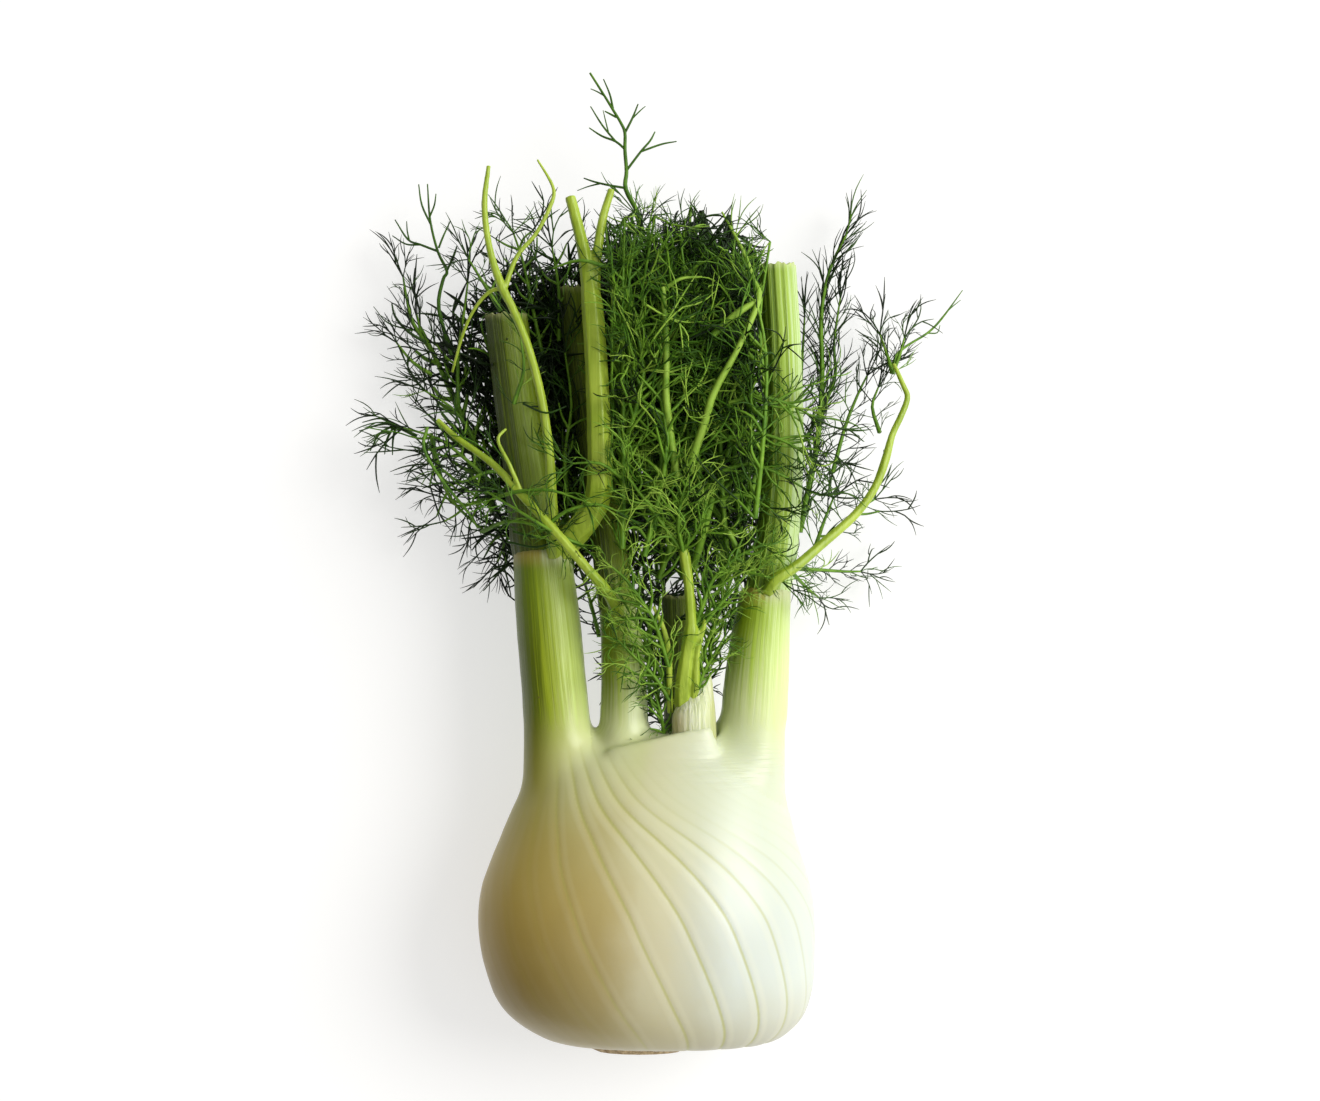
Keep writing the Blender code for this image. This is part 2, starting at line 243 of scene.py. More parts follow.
# The veins fan out from the foot of the left stalk: their angle round the bulb is turned and
# spread along Y, until it reads as at the widest part.
FAN_Y = (-38.7, 0.0, 20.4, 36.0, 50.0)
FAN_SPREAD = (1.0, 1.0, 1.25, 1.95, 2.7)
FAN_TURN = (-18.0, 0.0, 19.0, 58.3, 101.0)
VEINS = (  # (angle in degrees, how strongly it shows)
    (-120, 0.15), (-101, 0.15), (-84, 0.15), (-68, 0.1), (-54, 0.1), (-40, 0.12), (-24.5, 0.45),
    (-5.7, 0.85), (10.4, 1.0), (26, 1.0), (41, 0.8), (55, 0.45), (68, 0.3), (81, 0.2), (95, 0.15),
    (112, 0.15), (130, 0.15), (150, 0.15))
VEIN_DEPTH = 0.18
VEIN_WIDTH = 0.45
SWELL = 0.045
# The middle lines of the two outer stalks, (x, y, z).
LEFT_LINE = ((-22, 0, 31), (-25.5, 36, 31), (-27.4, 58.4, 31), (-28.4, 68, 31), (-30, 86, 30.6),
             (-32, 107, 30))
RIGHT_LINE = ((24, 0, 31), (29.2, 36, 31), (31.8, 58.4, 31), (32.6, 68, 31), (33.6, 80, 31),
              (35.4, 95.6, 31))
INNER_LINE = ((-6.8, 20, 33), (-6.8, 38, 33), (-7.2, 52, 32.6), (-7.2, 66, 32.2), (-8, 80, 32),
              (-9.2, 90.3, 31.4))
# The innermost stalk on the left has no pocket: its foot, with the flesh around it.
INNER_FOOT = ((-5.0, 24, 31, 12, 12), (-6.8, 38, 32.6, 9.6, 10.5), (-7.2, 46, 32.6, 8.4, 8.6),
              (-7.2, 54, 32.6, 7.5, 6.9), (-7.2, 60, 32.4, 7.2, 6.7))
# The sheath that closes the bulb in front, as stations, and its slanted upper edge.
FRONT_SHEATH = ((5.0, 30, 40.6, 22, 9.4), (4.2, 36, 41.0, 20.6, 7.4), (3.6, 42, 41.0, 18.8, 5.6),
                (4.6, 47, 41.2, 17.0, 4.4), (6.6, 51, 41.6, 13.4, 3.2), (8.2, 55, 41.8, 10.0, 2.2),
                (9.0, 62, 41.6, 5.0, 1.6))
SHEATH_EDGE = ((-14.0, 47.2), (17.4, 54.2))


def cad_copy(name, nodes):
    """One new piece from copies of some of the frame's solids, with their doubles merged."""
    deselect()
    for node in nodes:
        copy = bpy.data.objects.new(name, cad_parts[node].data.copy())
        copy.data.materials.clear()
        bpy.context.collection.objects.link(copy)
        copy.select_set(True)
        bpy.context.view_layer.objects.active = copy
    bpy.ops.object.join()
    made = bpy.context.object
    made.name = name
    bpy.ops.object.mode_set(mode="EDIT")
    bpy.ops.mesh.select_all(action="SELECT")
    bpy.ops.mesh.remove_doubles(threshold=1e-6)
    bpy.ops.object.mode_set(mode="OBJECT")
    return made


def apply_modifier(piece, kind, **settings):
    """Adds a modifier and applies it."""
    deselect()
    piece.select_set(True)
    bpy.context.view_layer.objects.active = piece
    step = piece.modifiers.new(kind.title(), kind)
    for setting, value in settings.items():
        setattr(step, setting, value)
    bpy.ops.object.modifier_apply(modifier=step.name)


def vertex_places(mesh):
    """All vertex places in millimetres."""
    places = np.empty(len(mesh.vertices) * 3)
    mesh.vertices.foreach_get("co", places)
    return places.reshape(-1, 3) / MM


def vertex_normals(mesh):
    """All vertex normals."""
    normals = np.empty(len(mesh.vertices) * 3)
    mesh.vertex_normals.foreach_get("vector", normals)
    return normals.reshape(-1, 3)


def move_vertices(mesh, places):
    """Sets all vertex places, given in millimetres."""
    mesh.vertices.foreach_set("co", (places * MM).astype(np.float32).ravel())
    mesh.update()


def store(mesh, name, values):
    """Keeps one number, or one vector, for each vertex on the mesh."""
    kind = "FLOAT_VECTOR" if values.ndim == 2 else "FLOAT"
    field = "vector" if values.ndim == 2 else "value"
    attribute = mesh.attributes.new(name, kind, "POINT")
    attribute.data.foreach_set(field, values.astype(np.float32).ravel())


def smoothstep(values, low, high):
    """Goes smoothly from 0 at low to 1 at high."""
    t = np.clip((values - low) / (high - low), 0, 1)
    return t * t * (3 - 2 * t)


def smooth_path(stations, steps):
    """Rows of numbers on the smooth curve through the given rows, with steps to each span."""
    rows = [np.array(row, float) for row in stations]
    rows = [2 * rows[0] - rows[1], *rows, 2 * rows[-1] - rows[-2]]
    made = []
    for before, start, end, after in zip(rows, rows[1:], rows[2:], rows[3:]):
        for step_number in range(steps):
            t = step_number / steps
            made.append(
                0.5 * (2 * start + (end - before) * t
                       + (2 * before - 5 * start + 4 * end - after) * t ** 2
                       + (3 * start - before - 3 * end + after) * t ** 3)
            )
    made.append(rows[-2])
    return made


def smooth_table(places, values):
    """A smooth curve through a few values, as closely spaced places and values."""
    rows = np.array(smooth_path(list(zip(places, values)), 12))
    return rows[:, 0], rows[:, 1]


def vein_angle(x, y):
    """The angle round the bulb, in degrees, in which each vein has one value all along."""
    left = np.interp(y, *smooth_table(OUTLINE_Y, OUTLINE_LEFT))
    right = np.interp(y, *smooth_table(OUTLINE_Y, OUTLINE_RIGHT))
    across = (x - (left + right) / 2) / ((right - left) / 2 + 1.5)
    angle = np.degrees(np.arcsin(np.clip(across, -0.999, 0.999)))
    spread = np.interp(y, *smooth_table(FAN_Y, FAN_SPREAD))
    return spread * angle + np.interp(y, *smooth_table(FAN_Y, FAN_TURN))


def vein_number(x, y):
    """Like vein_angle, but it counts the veins: it is a whole number on each of them."""
    return np.interp(vein_angle(x, y), *smooth_table([v[0] for v in VEINS], range(len(VEINS))))


def line_at(line, y):
    """The x and z of a stalk's middle line at each y."""
    points = np.array(line, float)
    return np.interp(y, points[:, 1], points[:, 0]), np.interp(y, points[:, 1], points[:, 2])


def round_body(name, rows, sides):
    """A closed body along Y through rows of (x, y, z, half width, half thickness), in mm."""
    start = Vector(rows[0][:3]) * MM
    deselect()
    bpy.ops.mesh.primitive_circle_add(vertices=sides, radius=MM, fill_type="NGON", location=start,
                                      rotation=(math.pi / 2, 0, 0))
    made = bpy.context.object
    made.name = name
    bpy.ops.object.transform_apply(location=True, rotation=True, scale=True)
    bpy.ops.object.mode_set(mode="EDIT")
    bpy.ops.transform.resize(value=(rows[0][3], 1, rows[0][4]), center_override=start)
    for last, row in zip(rows, rows[1:]):
        step = (Vector(row[:3]) - Vector(last[:3])) * MM
        bpy.ops.mesh.extrude_region_move(TRANSFORM_OT_translate={"value": step})
        bpy.ops.transform.resize(value=(row[3] / last[3], 1, row[4] / last[4]),
                                 center_override=Vector(row[:3]) * MM)
    bpy.ops.mesh.select_all(action="SELECT")
    bpy.ops.mesh.normals_make_consistent(inside=False)
    bpy.ops.object.mode_set(mode="OBJECT")
    return made


def join(pieces):
    """Joins pieces into the first one."""
    deselect()
    for piece in pieces:
        piece.select_set(True)
    bpy.context.view_layer.objects.active = pieces[0]
    bpy.ops.object.join()
    return bpy.context.object


skin = cad_copy("bulb_skin", ("bulb", "left_stalk", "right_stalk", "centre_left_stalk"))
for vertex in skin.data.vertices:
    if NECK_TOP - 0.1 * MM < vertex.co.y < NECK_TOP + 0.5 * MM and abs(vertex.co.x) > 16 * MM:
        vertex.co.y -= NECK_LAP
inner_foot = round_body("inner_foot", smooth_path(INNER_FOOT, 4), 32)
skin = join([skin, inner_foot])
apply_modifier(skin, "REMESH", mode="VOXEL", voxel_size=SKIN_FINENESS * MM)
apply_modifier(skin, "SMOOTH", factor=0.5, iterations=SKIN_SMOOTHING)

front_sheath = round_body("front_sheath", smooth_path(FRONT_SHEATH, 6), 64)
edge_start, edge_end = (Vector((*point, 0)) for point in SHEATH_EDGE)
bpy.ops.object.mode_set(mode="EDIT")
bpy.ops.mesh.select_all(action="SELECT")
bpy.ops.mesh.bisect(plane_co=edge_start * MM, use_fill=True, clear_outer=True,
                    plane_no=Vector((0, 0, 1)).cross(edge_end - edge_start).normalized())
bpy.ops.object.mode_set(mode="OBJECT")
skin = join([skin, front_sheath])
apply_modifier(skin, "REMESH", mode="VOXEL", voxel_size=SKIN_FINENESS * MM)
apply_modifier(skin, "SMOOTH", factor=0.5, iterations=SHEATH_SMOOTHING)

places = vertex_places(skin.data)
normals = vertex_normals(skin.data)
x, y, z = places.T
step = 0.5
slope_x = (vein_number(x + step, y) - vein_number(x - step, y)) / (2 * step)
slope_y = (vein_number(x, y + step) - vein_number(x, y - step)) / (2 * step)
along_normal = slope_x * normals[:, 0] + slope_y * normals[:, 1]
steepness = np.sqrt(np.maximum(slope_x ** 2 + slope_y ** 2 - along_normal ** 2, 1e-6))
veins = vein_number(x, y)
distance = np.abs(veins - np.round(veins)) / steepness
spacing = 1 / steepness
in_bulb = 1 - smoothstep(y, 38, 54)
strength = np.interp(veins, range(len(VEINS)), [vein[1] for vein in VEINS])
clear = smoothstep(spacing, 1.5, 6.0) * in_bulb * strength
groove = np.exp(-(distance / VEIN_WIDTH) ** 2)
bank = np.exp(-((distance - 1.9) / 1.1) ** 2)
rib_swell = np.cos(2 * np.pi * veins)
lift = clear * (-VEIN_DEPTH * groove + 0.03 * bank - SWELL * rib_swell)
move_vertices(skin.data, places + normals * lift[:, None])
store(skin.data, "vein_number", veins)
store(skin.data, "vein_spacing", np.minimum(spacing, 40))
store(skin.data, "vein_strength", clear)

# Which way each place faces from the middle line of the nearest stalk.
lines = [line_at(line, y) for line in (LEFT_LINE, INNER_LINE, RIGHT_LINE)]
nearest = np.argmin([np.abs(x - line_x) for line_x, line_z in lines], axis=0)
off_x = x - np.choose(nearest, [line_x for line_x, line_z in lines])
off_z = z - np.choose(nearest, [line_z for line_x, line_z in lines])
round_stalk = np.stack((off_x, off_z), 1) / (np.hypot(off_x, off_z)[:, None] + 1e-6)
angle = np.radians(vein_angle(x, y))
round_bulb = np.stack((np.sin(angle), np.cos(angle)), 1)
share = smoothstep(y, 30, 56)[:, None]
fibres = (1 - share) * round_bulb * 3.0 + share * round_stalk
store(skin.data, "fibres", np.column_stack((fibres, y / 100.0)))
store(skin.data, "facing", round_stalk[:, 0])
store(skin.data, "inner", (nearest == 1) * (x < 2) * smoothstep(y, 48, 54))
# How far up the plant each place is: the front sheath stays pale almost to its edge.
between = smoothstep(x, -4, 4) * (1 - smoothstep(x, 18, 24)) * (1 - smoothstep(y, 54, 60))
store(skin.data, "height", y - 14 * between)
# The joints: how near each place is to the ragged edge where an outer stalk's sheath ends.
top = np.choose(nearest, (107.0, 900.0, 95.6))
store(skin.data, "collar", smoothstep(y - top, -7.0, -1.0))
skin.data.shade_smooth()

skin_paint, skin_surface, paint = new_material(
    "fennel_skin", Subsurface_Weight=0.10, Subsurface_Scale=0.003,
    Subsurface_Radius=(1.0, 0.8, 0.3), Specular_IOR_Level=0.4)
up = paint.axis("Y")
across = paint.axis("X")
fibre = paint.attribute("fibres", output=1)
facing = paint.attribute("facing")
streak = paint.noise(1.0, 4.0, 0.6, paint.stretched((7.0, 7.0, 1.2), fibre)).rise(0.34, 0.68)
fine_streak = paint.noise(1.0, 3.0, 0.6, paint.stretched((26.0, 26.0, 1.8), fibre)).rise(0.35, 0.65)
cloud = paint.noise(45.0, 4.0, 0.55)
offset = paint.math("PINGPONG", paint.attribute("vein_number"), 0.5) * paint.attribute("vein_spacing")
vein = (1 - offset.rise(0.05, 0.75)) * paint.attribute("vein_strength")
beside = (1 - paint.math("ABSOLUTE", offset - 1.9).rise(0.2, 1.5)) * paint.attribute("vein_strength")
# How far a place lies to the left, away from the window light: partly the plant's own yellower colour,
# partly painted shade.
left_sallow_and_shade = 1 - (across + (cloud - 0.5) * 14.0).rise(-50, 26)

# The bulb is cream, whiter on its right and tan and darker on its left and towards the root. The change
# from left to right is partly its own colour and partly painted light and shade from the window on the
# right; the darkening towards the root is painted shade.
toward_light = (across + (cloud - 0.5) * 12.0).rise(-50, 50)
cream = toward_light.node(
    "ShaderNodeValToRGB",
    {"stops": ((0.28, (0.54, 0.475, 0.24)), (0.46, (0.71, 0.70, 0.495)), (0.58, (0.655, 0.645, 0.46)),
               (0.71, (0.565, 0.58, 0.465)), (0.85, (0.60, 0.645, 0.585)))},
    {"Fac": toward_light})
left_tan_and_shade = up.rise(-42, 8).mix((0.24, 0.16, 0.028), (0.45, 0.32, 0.070))
cream = left_sallow_and_shade.mix(cream, left_tan_and_shade)
cream = (up.rise(-12, 42) * 0.55).mix(cream, left_sallow_and_shade.mix((0.66, 0.72, 0.48), (0.44, 0.40, 0.075)))
# Darker and browner towards the root: painted shade.
clear_of_root_shade = (up + (cloud - 0.5) * 10.0).rise(-46, -16)
cream = ((1 - clear_of_root_shade) * 0.6).mix(cream, (0.44, 0.38, 0.20))

# The stalks are olive on their left, yellow-green in the middle and pale on their right: partly their own
# colour, partly painted shade on the side away from the window light and painted light on the side toward
# it.
above_neck = up.rise(48, 66)
lean = facing + ((streak - 0.5) * 0.7 + (fine_streak - 0.5) * 0.25) * above_neck
olive = left_sallow_and_shade.mix((0.25, 0.36, 0.012), (0.10, 0.135, 0.002))
bright = left_sallow_and_shade.mix((0.42, 0.58, 0.065), (0.275, 0.335, 0.005))
pale = left_sallow_and_shade.mix((0.66, 0.79, 0.33), (0.45, 0.57, 0.10))
stalk_green = lean.rise(-0.62, 0.05).mix(olive, bright)
stalk_green = lean.rise(0.1, 0.85).mix(stalk_green, pale)
stalk_green = (up.rise(66, 104) * 0.45).mix(stalk_green, (0.17, 0.27, 0.012))
pale_green = left_sallow_and_shade.mix((0.64, 0.72, 0.34), (0.40, 0.37, 0.035))
# The left neck runs from dark olive at its outer edge to pale towards the middle: partly its own colour,
# partly painted shade on the side away from the light.
neck_side_shade = across.rise(-37, -15).mix((0.25, 0.23, 0.016), (0.70, 0.74, 0.46))
pale_green = ((1 - across.rise(-10, 4)) * 0.7).mix(pale_green, neck_side_shade)
height_wave = paint.attribute("height") + left_sallow_and_shade * 22.0
height_wave = height_wave + (cloud - 0.5) * 12.0 + (streak - 0.5) * above_neck * 14.0
colour = height_wave.rise(34, 62).mix(cream, pale_green)
colour = height_wave.rise(54, 84).mix(colour, stalk_green)
# The foot of the inner stalk stays pale on its right, the side toward the light: partly its own colour,
# partly painted light.
white_foot = paint.attribute("inner") * lean.rise(-0.1, 0.45) * (1 - up.rise(56, 72))
colour = (white_foot * 0.65).mix(colour, (0.62, 0.68, 0.42))
collar = paint.attribute("collar")
# Each joint's rim is pale, and browner on its left, away from the light: partly its own colour, partly
# painted shade.
rim = (facing + (streak - 0.5)).rise(-0.5, 0.5).mix((0.42, 0.33, 0.07), (0.62, 0.66, 0.38))
colour = (collar * 0.75).mix(colour, rim)
# A pale band along both sides of each vein: painted highlight on the swollen ribs.
colour = (beside * 0.15).mix(colour, (0.80, 0.78, 0.58))
colour = (vein * 0.6).mix(colour, (0.42, 0.43, 0.10))
cell = {"Vector": paint.object_place(), "Scale": 62.0}
speck = 1 - paint.node("ShaderNodeTexVoronoi", None, cell).rise(0.018, 0.034)
speck = speck * paint.node("ShaderNodeTexVoronoi", None, cell, output=1).rise(0.80, 0.82)
colour = (speck * 0.8).mix(colour, (0.16, 0.11, 0.04))

# Fine wrinkles where the front sheath is pulled tight below its edge.
wrinkle = paint.noise(1.0, 3.0, 0.55, paint.stretched((60.0, 620.0, 60.0))).rise(0.35, 0.65)
wrinkle = wrinkle * up.rise(33, 41) * (1 - up.rise(48, 53)) * across.rise(0, 10)
feed(skin_surface, paint, colour=colour,
     roughness=0.26 + cloud * 0.14,
     height=((fine_streak * 0.15 + streak * 0.25) * above_neck + wrinkle * 0.35
             + paint.noise(700.0, 2.0) * 0.05),
     depth=0.0002)
skin.data.materials.append(skin_paint)
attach(skin, "root")
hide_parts("bulb", "left_stalk", "right_stalk", "centre_left_stalk")


# ---------------------------------------------------------------------------------------------
# The cut stalks: stiff, juicy and finely ribbed lengthwise.  Above its joint each one was cut
# off square with a knife, which left a pale ragged end.
# ---------------------------------------------------------------------------------------------
STALK_SIDES = 96
# How the cut end narrows and sinks in from its rim.
MOUTH = ((0.93, 0.0), (0.80, 0.2), (0.44, 0.8), (0.07, 1.1))


def ribbed_stalk(name, stations, ribs, depth, seed):
    """A stalk along Y through stations (x, y, z, half width, half thickness), ribbed along it."""
    rows = smooth_path(stations, 6)
    x, y, z, half_width, half_thickness = rows[-1]
    mouth = [(x, y - sink, z, half_width * size, half_thickness * size) for size, sink in MOUTH]
    made = round_body(name, rows + mouth, STALK_SIDES)

    chance = np.random.default_rng(seed)
    places = vertex_places(made.data)
    line = np.array([row[:3] for row in rows])
    middle_x = np.interp(places[:, 1], line[:, 1], line[:, 0])
    middle_z = np.interp(places[:, 1], line[:, 1], line[:, 2])
    off_x, off_z = places[:, 0] - middle_x, places[:, 2] - middle_z
    turn = np.arctan2(off_z, off_x)
    rib_shape = np.abs(np.cos(ribs * turn / 2 + 0.5 * np.sin(3 * turn + seed)))
    uneven = 0.7 + 0.3 * np.sin(5 * turn + seed) * np.cos(2 * turn - seed)
    radius = np.hypot(off_x, off_z)
    grow = 1 + depth * (rib_shape * uneven - 0.55) / np.maximum(radius, 2)
    places[:, 0] = middle_x + off_x * grow
    places[:, 2] = middle_z + off_z * grow
    at_end = places[:, 1] > line[-1, 1] - 0.05
    ragged = 0.35 * np.sin(7 * turn + seed) + 0.25 * np.sin(17 * turn) + chance.normal(0, 0.12, len(turn))
    places[:, 1] += at_end * ragged
    move_vertices(made.data, places)
    unit = np.stack((off_x, off_z), 1) / (radius[:, None] + 1e-6)
    store(made.data, "fibres", np.column_stack((unit, places[:, 1] / 100.0)))
    store(made.data, "cut", np.clip((places[:, 1] - line[-1, 1] + 1.6) / 1.6, 0, 1)
          * (1 - 0.35 * (radius > 0.9 * np.interp(line[-1, 1], line[:, 1],
                                                  [row[3] for row in rows]))))
    made.data.shade_smooth()
    made.data.set_sharp_from_angle(angle=math.radians(60))
    return made


def stalk_material(name, olive, bright, pale, cut_colour):
    """A stalk's green: olive on its left, bright in the middle and pale on its right, partly its own
    colour and partly painted shade and painted light from the window on the right.
    """
    made, surface, paint = new_material(name, Subsurface_Weight=0.08, Subsurface_Scale=0.003,
                                        Subsurface_Radius=(0.8, 1.0, 0.3), Specular_IOR_Level=0.4)
    fibre = paint.attribute("fibres", output=1)
    facing = paint.node("ShaderNodeSeparateXYZ", None, {0: fibre})
    streak = paint.noise(1.0, 4.0, 0.6, paint.stretched((9.0, 9.0, 0.8), fibre)).rise(0.36, 0.66)
    fine = paint.noise(1.0, 3.0, 0.6, paint.stretched((30.0, 30.0, 2.0), fibre)).rise(0.35, 0.65)
    cloud = paint.noise(60.0, 3.0)
    lean = facing + (streak - 0.5) * 0.9 + (fine - 0.5) * 0.4
    colour = lean.rise(-0.7, 0.1).mix(olive, bright)
    colour = lean.rise(0.2, 1.0).mix(colour, pale)
    colour = paint.attribute("cut").rise(0.25, 0.9).mix(colour, cut_colour)
    feed(surface, paint, colour=colour, roughness=0.30 + cloud * 0.16,
         height=fine * 0.25 + streak * 0.3, depth=0.00025)
    return made


# A darker copy of the stalk green, for the stalks that lie low in the shade of the others: painted shade.
shaded_stalk_paint = stalk_material("stalk_in_shade", (0.055, 0.085, 0.002), (0.15, 0.215, 0.004),
                            (0.21, 0.30, 0.012), (0.44, 0.46, 0.18))
green_paint = stalk_material("stalk_green", (0.13, 0.23, 0.010), (0.33, 0.49, 0.04),
                             (0.58, 0.75, 0.34), (0.62, 0.68, 0.32))

CUT_STALKS = {
    # name: (CAD node, stations, number of ribs, rib depth, paint)
    "left_top_stalk": ("left_upper_stalk", (
        (-32.4, 103.0, 29.8, 7.9, 7.7), (-33.2, 109.5, 29.2, 8.3, 7.9), (-34.2, 116.0, 28.0, 7.8, 7.4),
        (-36.0, 128.0, 26.8, 7.2, 6.9), (-39.6, 152.0, 25.0, 6.8, 6.5),
        (-43.0, 177.6, 24.4, 6.4, 6.0)), 22, 0.3, shaded_stalk_paint),
    "right_top_stalk": ("right_upper_stalk", (
        (35.4, 92.0, 31.0, 6.9, 6.9), (37.0, 101.0, 31.0, 6.9, 6.7), (38.7, 110.0, 31.0, 6.4, 6.3),
        (40.5, 136.0, 31.0, 6.0, 5.9), (40.2, 166.0, 31.0, 5.6, 5.6),
        (38.7, 192.2, 31.0, 5.5, 5.5)), 15, 0.5, green_paint),
    "centre_right_low_stalk": ("centre_right_stalk", (
        (11.0, 39.0, 26.5, 6.0, 5.2), (10.6, 58.0, 26.0, 5.8, 5.2), (10.0, 78.0, 25.4, 5.6, 5.1),
        (9.4, 92.6, 25.0, 5.2, 4.9)), 18, 0.25, shaded_stalk_paint),
    "centre_left_top_stalk": ("centre_left_upper_stalk", (
        (-8.9, 86.0, 31.4, 5.3, 5.1), (-10.0, 93.5, 29.6, 5.3, 5.0), (-14.0, 125.0, 25.0, 5.1, 4.7),
        (-19.0, 158.0, 21.8, 4.9, 4.5), (-22.8, 186.2, 20.5, 4.7, 4.3)), 18, 0.35, shaded_stalk_paint),
}
for seed, (name, (node, stations, ribs, depth, look)) in enumerate(CUT_STALKS.items(), start=3):
    stalk = ribbed_stalk(name, stations, ribs, depth, seed)
    stalk.data.materials.append(look)
    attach(stalk, "root")
    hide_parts(node)


# ---------------------------------------------------------------------------------------------
# The thin stems: the side branches that carried leaves, the young stem in the heart and the
# pale sheath beside it.  They are round, solid and swollen where they divide.
# ---------------------------------------------------------------------------------------------
def tube_mesh(name, lines, sides=10, steps=5):
    """Round closed stems, each through stations (x, y, z, radius), in one object."""
    curve = bpy.data.curves.new(name, "CURVE")
    curve.dimensions = "3D"
    curve.bevel_depth = MM
    curve.bevel_resolution = max(0, sides // 4 - 1)
    curve.use_fill_caps = True
    for stations in lines:
        rows = smooth_path(stations, steps)
        spline = curve.splines.new("POLY")
        spline.points.add(len(rows) - 1)
        for point, row in zip(spline.points, rows):
            point.co = (*(row[:3] * MM), 1.0)
            point.radius = row[3]
    made = bpy.data.objects.new(name, curve)
    bpy.context.collection.objects.link(made)
    deselect()
    made.select_set(True)
    bpy.context.view_layer.objects.active = made
    bpy.ops.object.convert(target="MESH")
    return bpy.context.object


def branch(name, lines, fineness):
    """Stems grown together into one skin."""
    made = tube_mesh(name, lines)
    apply_modifier(made, "REMESH", mode="VOXEL", voxel_size=fineness * MM)
    apply_modifier(made, "SMOOTH", factor=0.5, iterations=4)
    made.data.shade_smooth()
    return made


def stem_material(name, dark, light):
    """Smooth young green with fine lines along Y."""
    made, surface, paint = new_material(name, Subsurface_Weight=0.08, Subsurface_Scale=0.002,
                                        Subsurface_Radius=(0.8, 1.0, 0.3))
    lines = paint.noise(1.0, 3.0, 0.6, paint.stretched((900.0, 25.0, 900.0))).rise(0.3, 0.7)
    cloud = paint.noise(70.0, 3.0)
    colour = (lines * 0.35 + cloud.rise(0.3, 0.7) * 0.65).mix(dark, light)
    feed(surface, paint, colour=colour, roughness=0.36 + cloud * 0.12, height=lines,
         depth=0.00006)
    return made


stem_green = stem_material("stem_green", (0.24, 0.36, 0.012), (0.45, 0.58, 0.06))

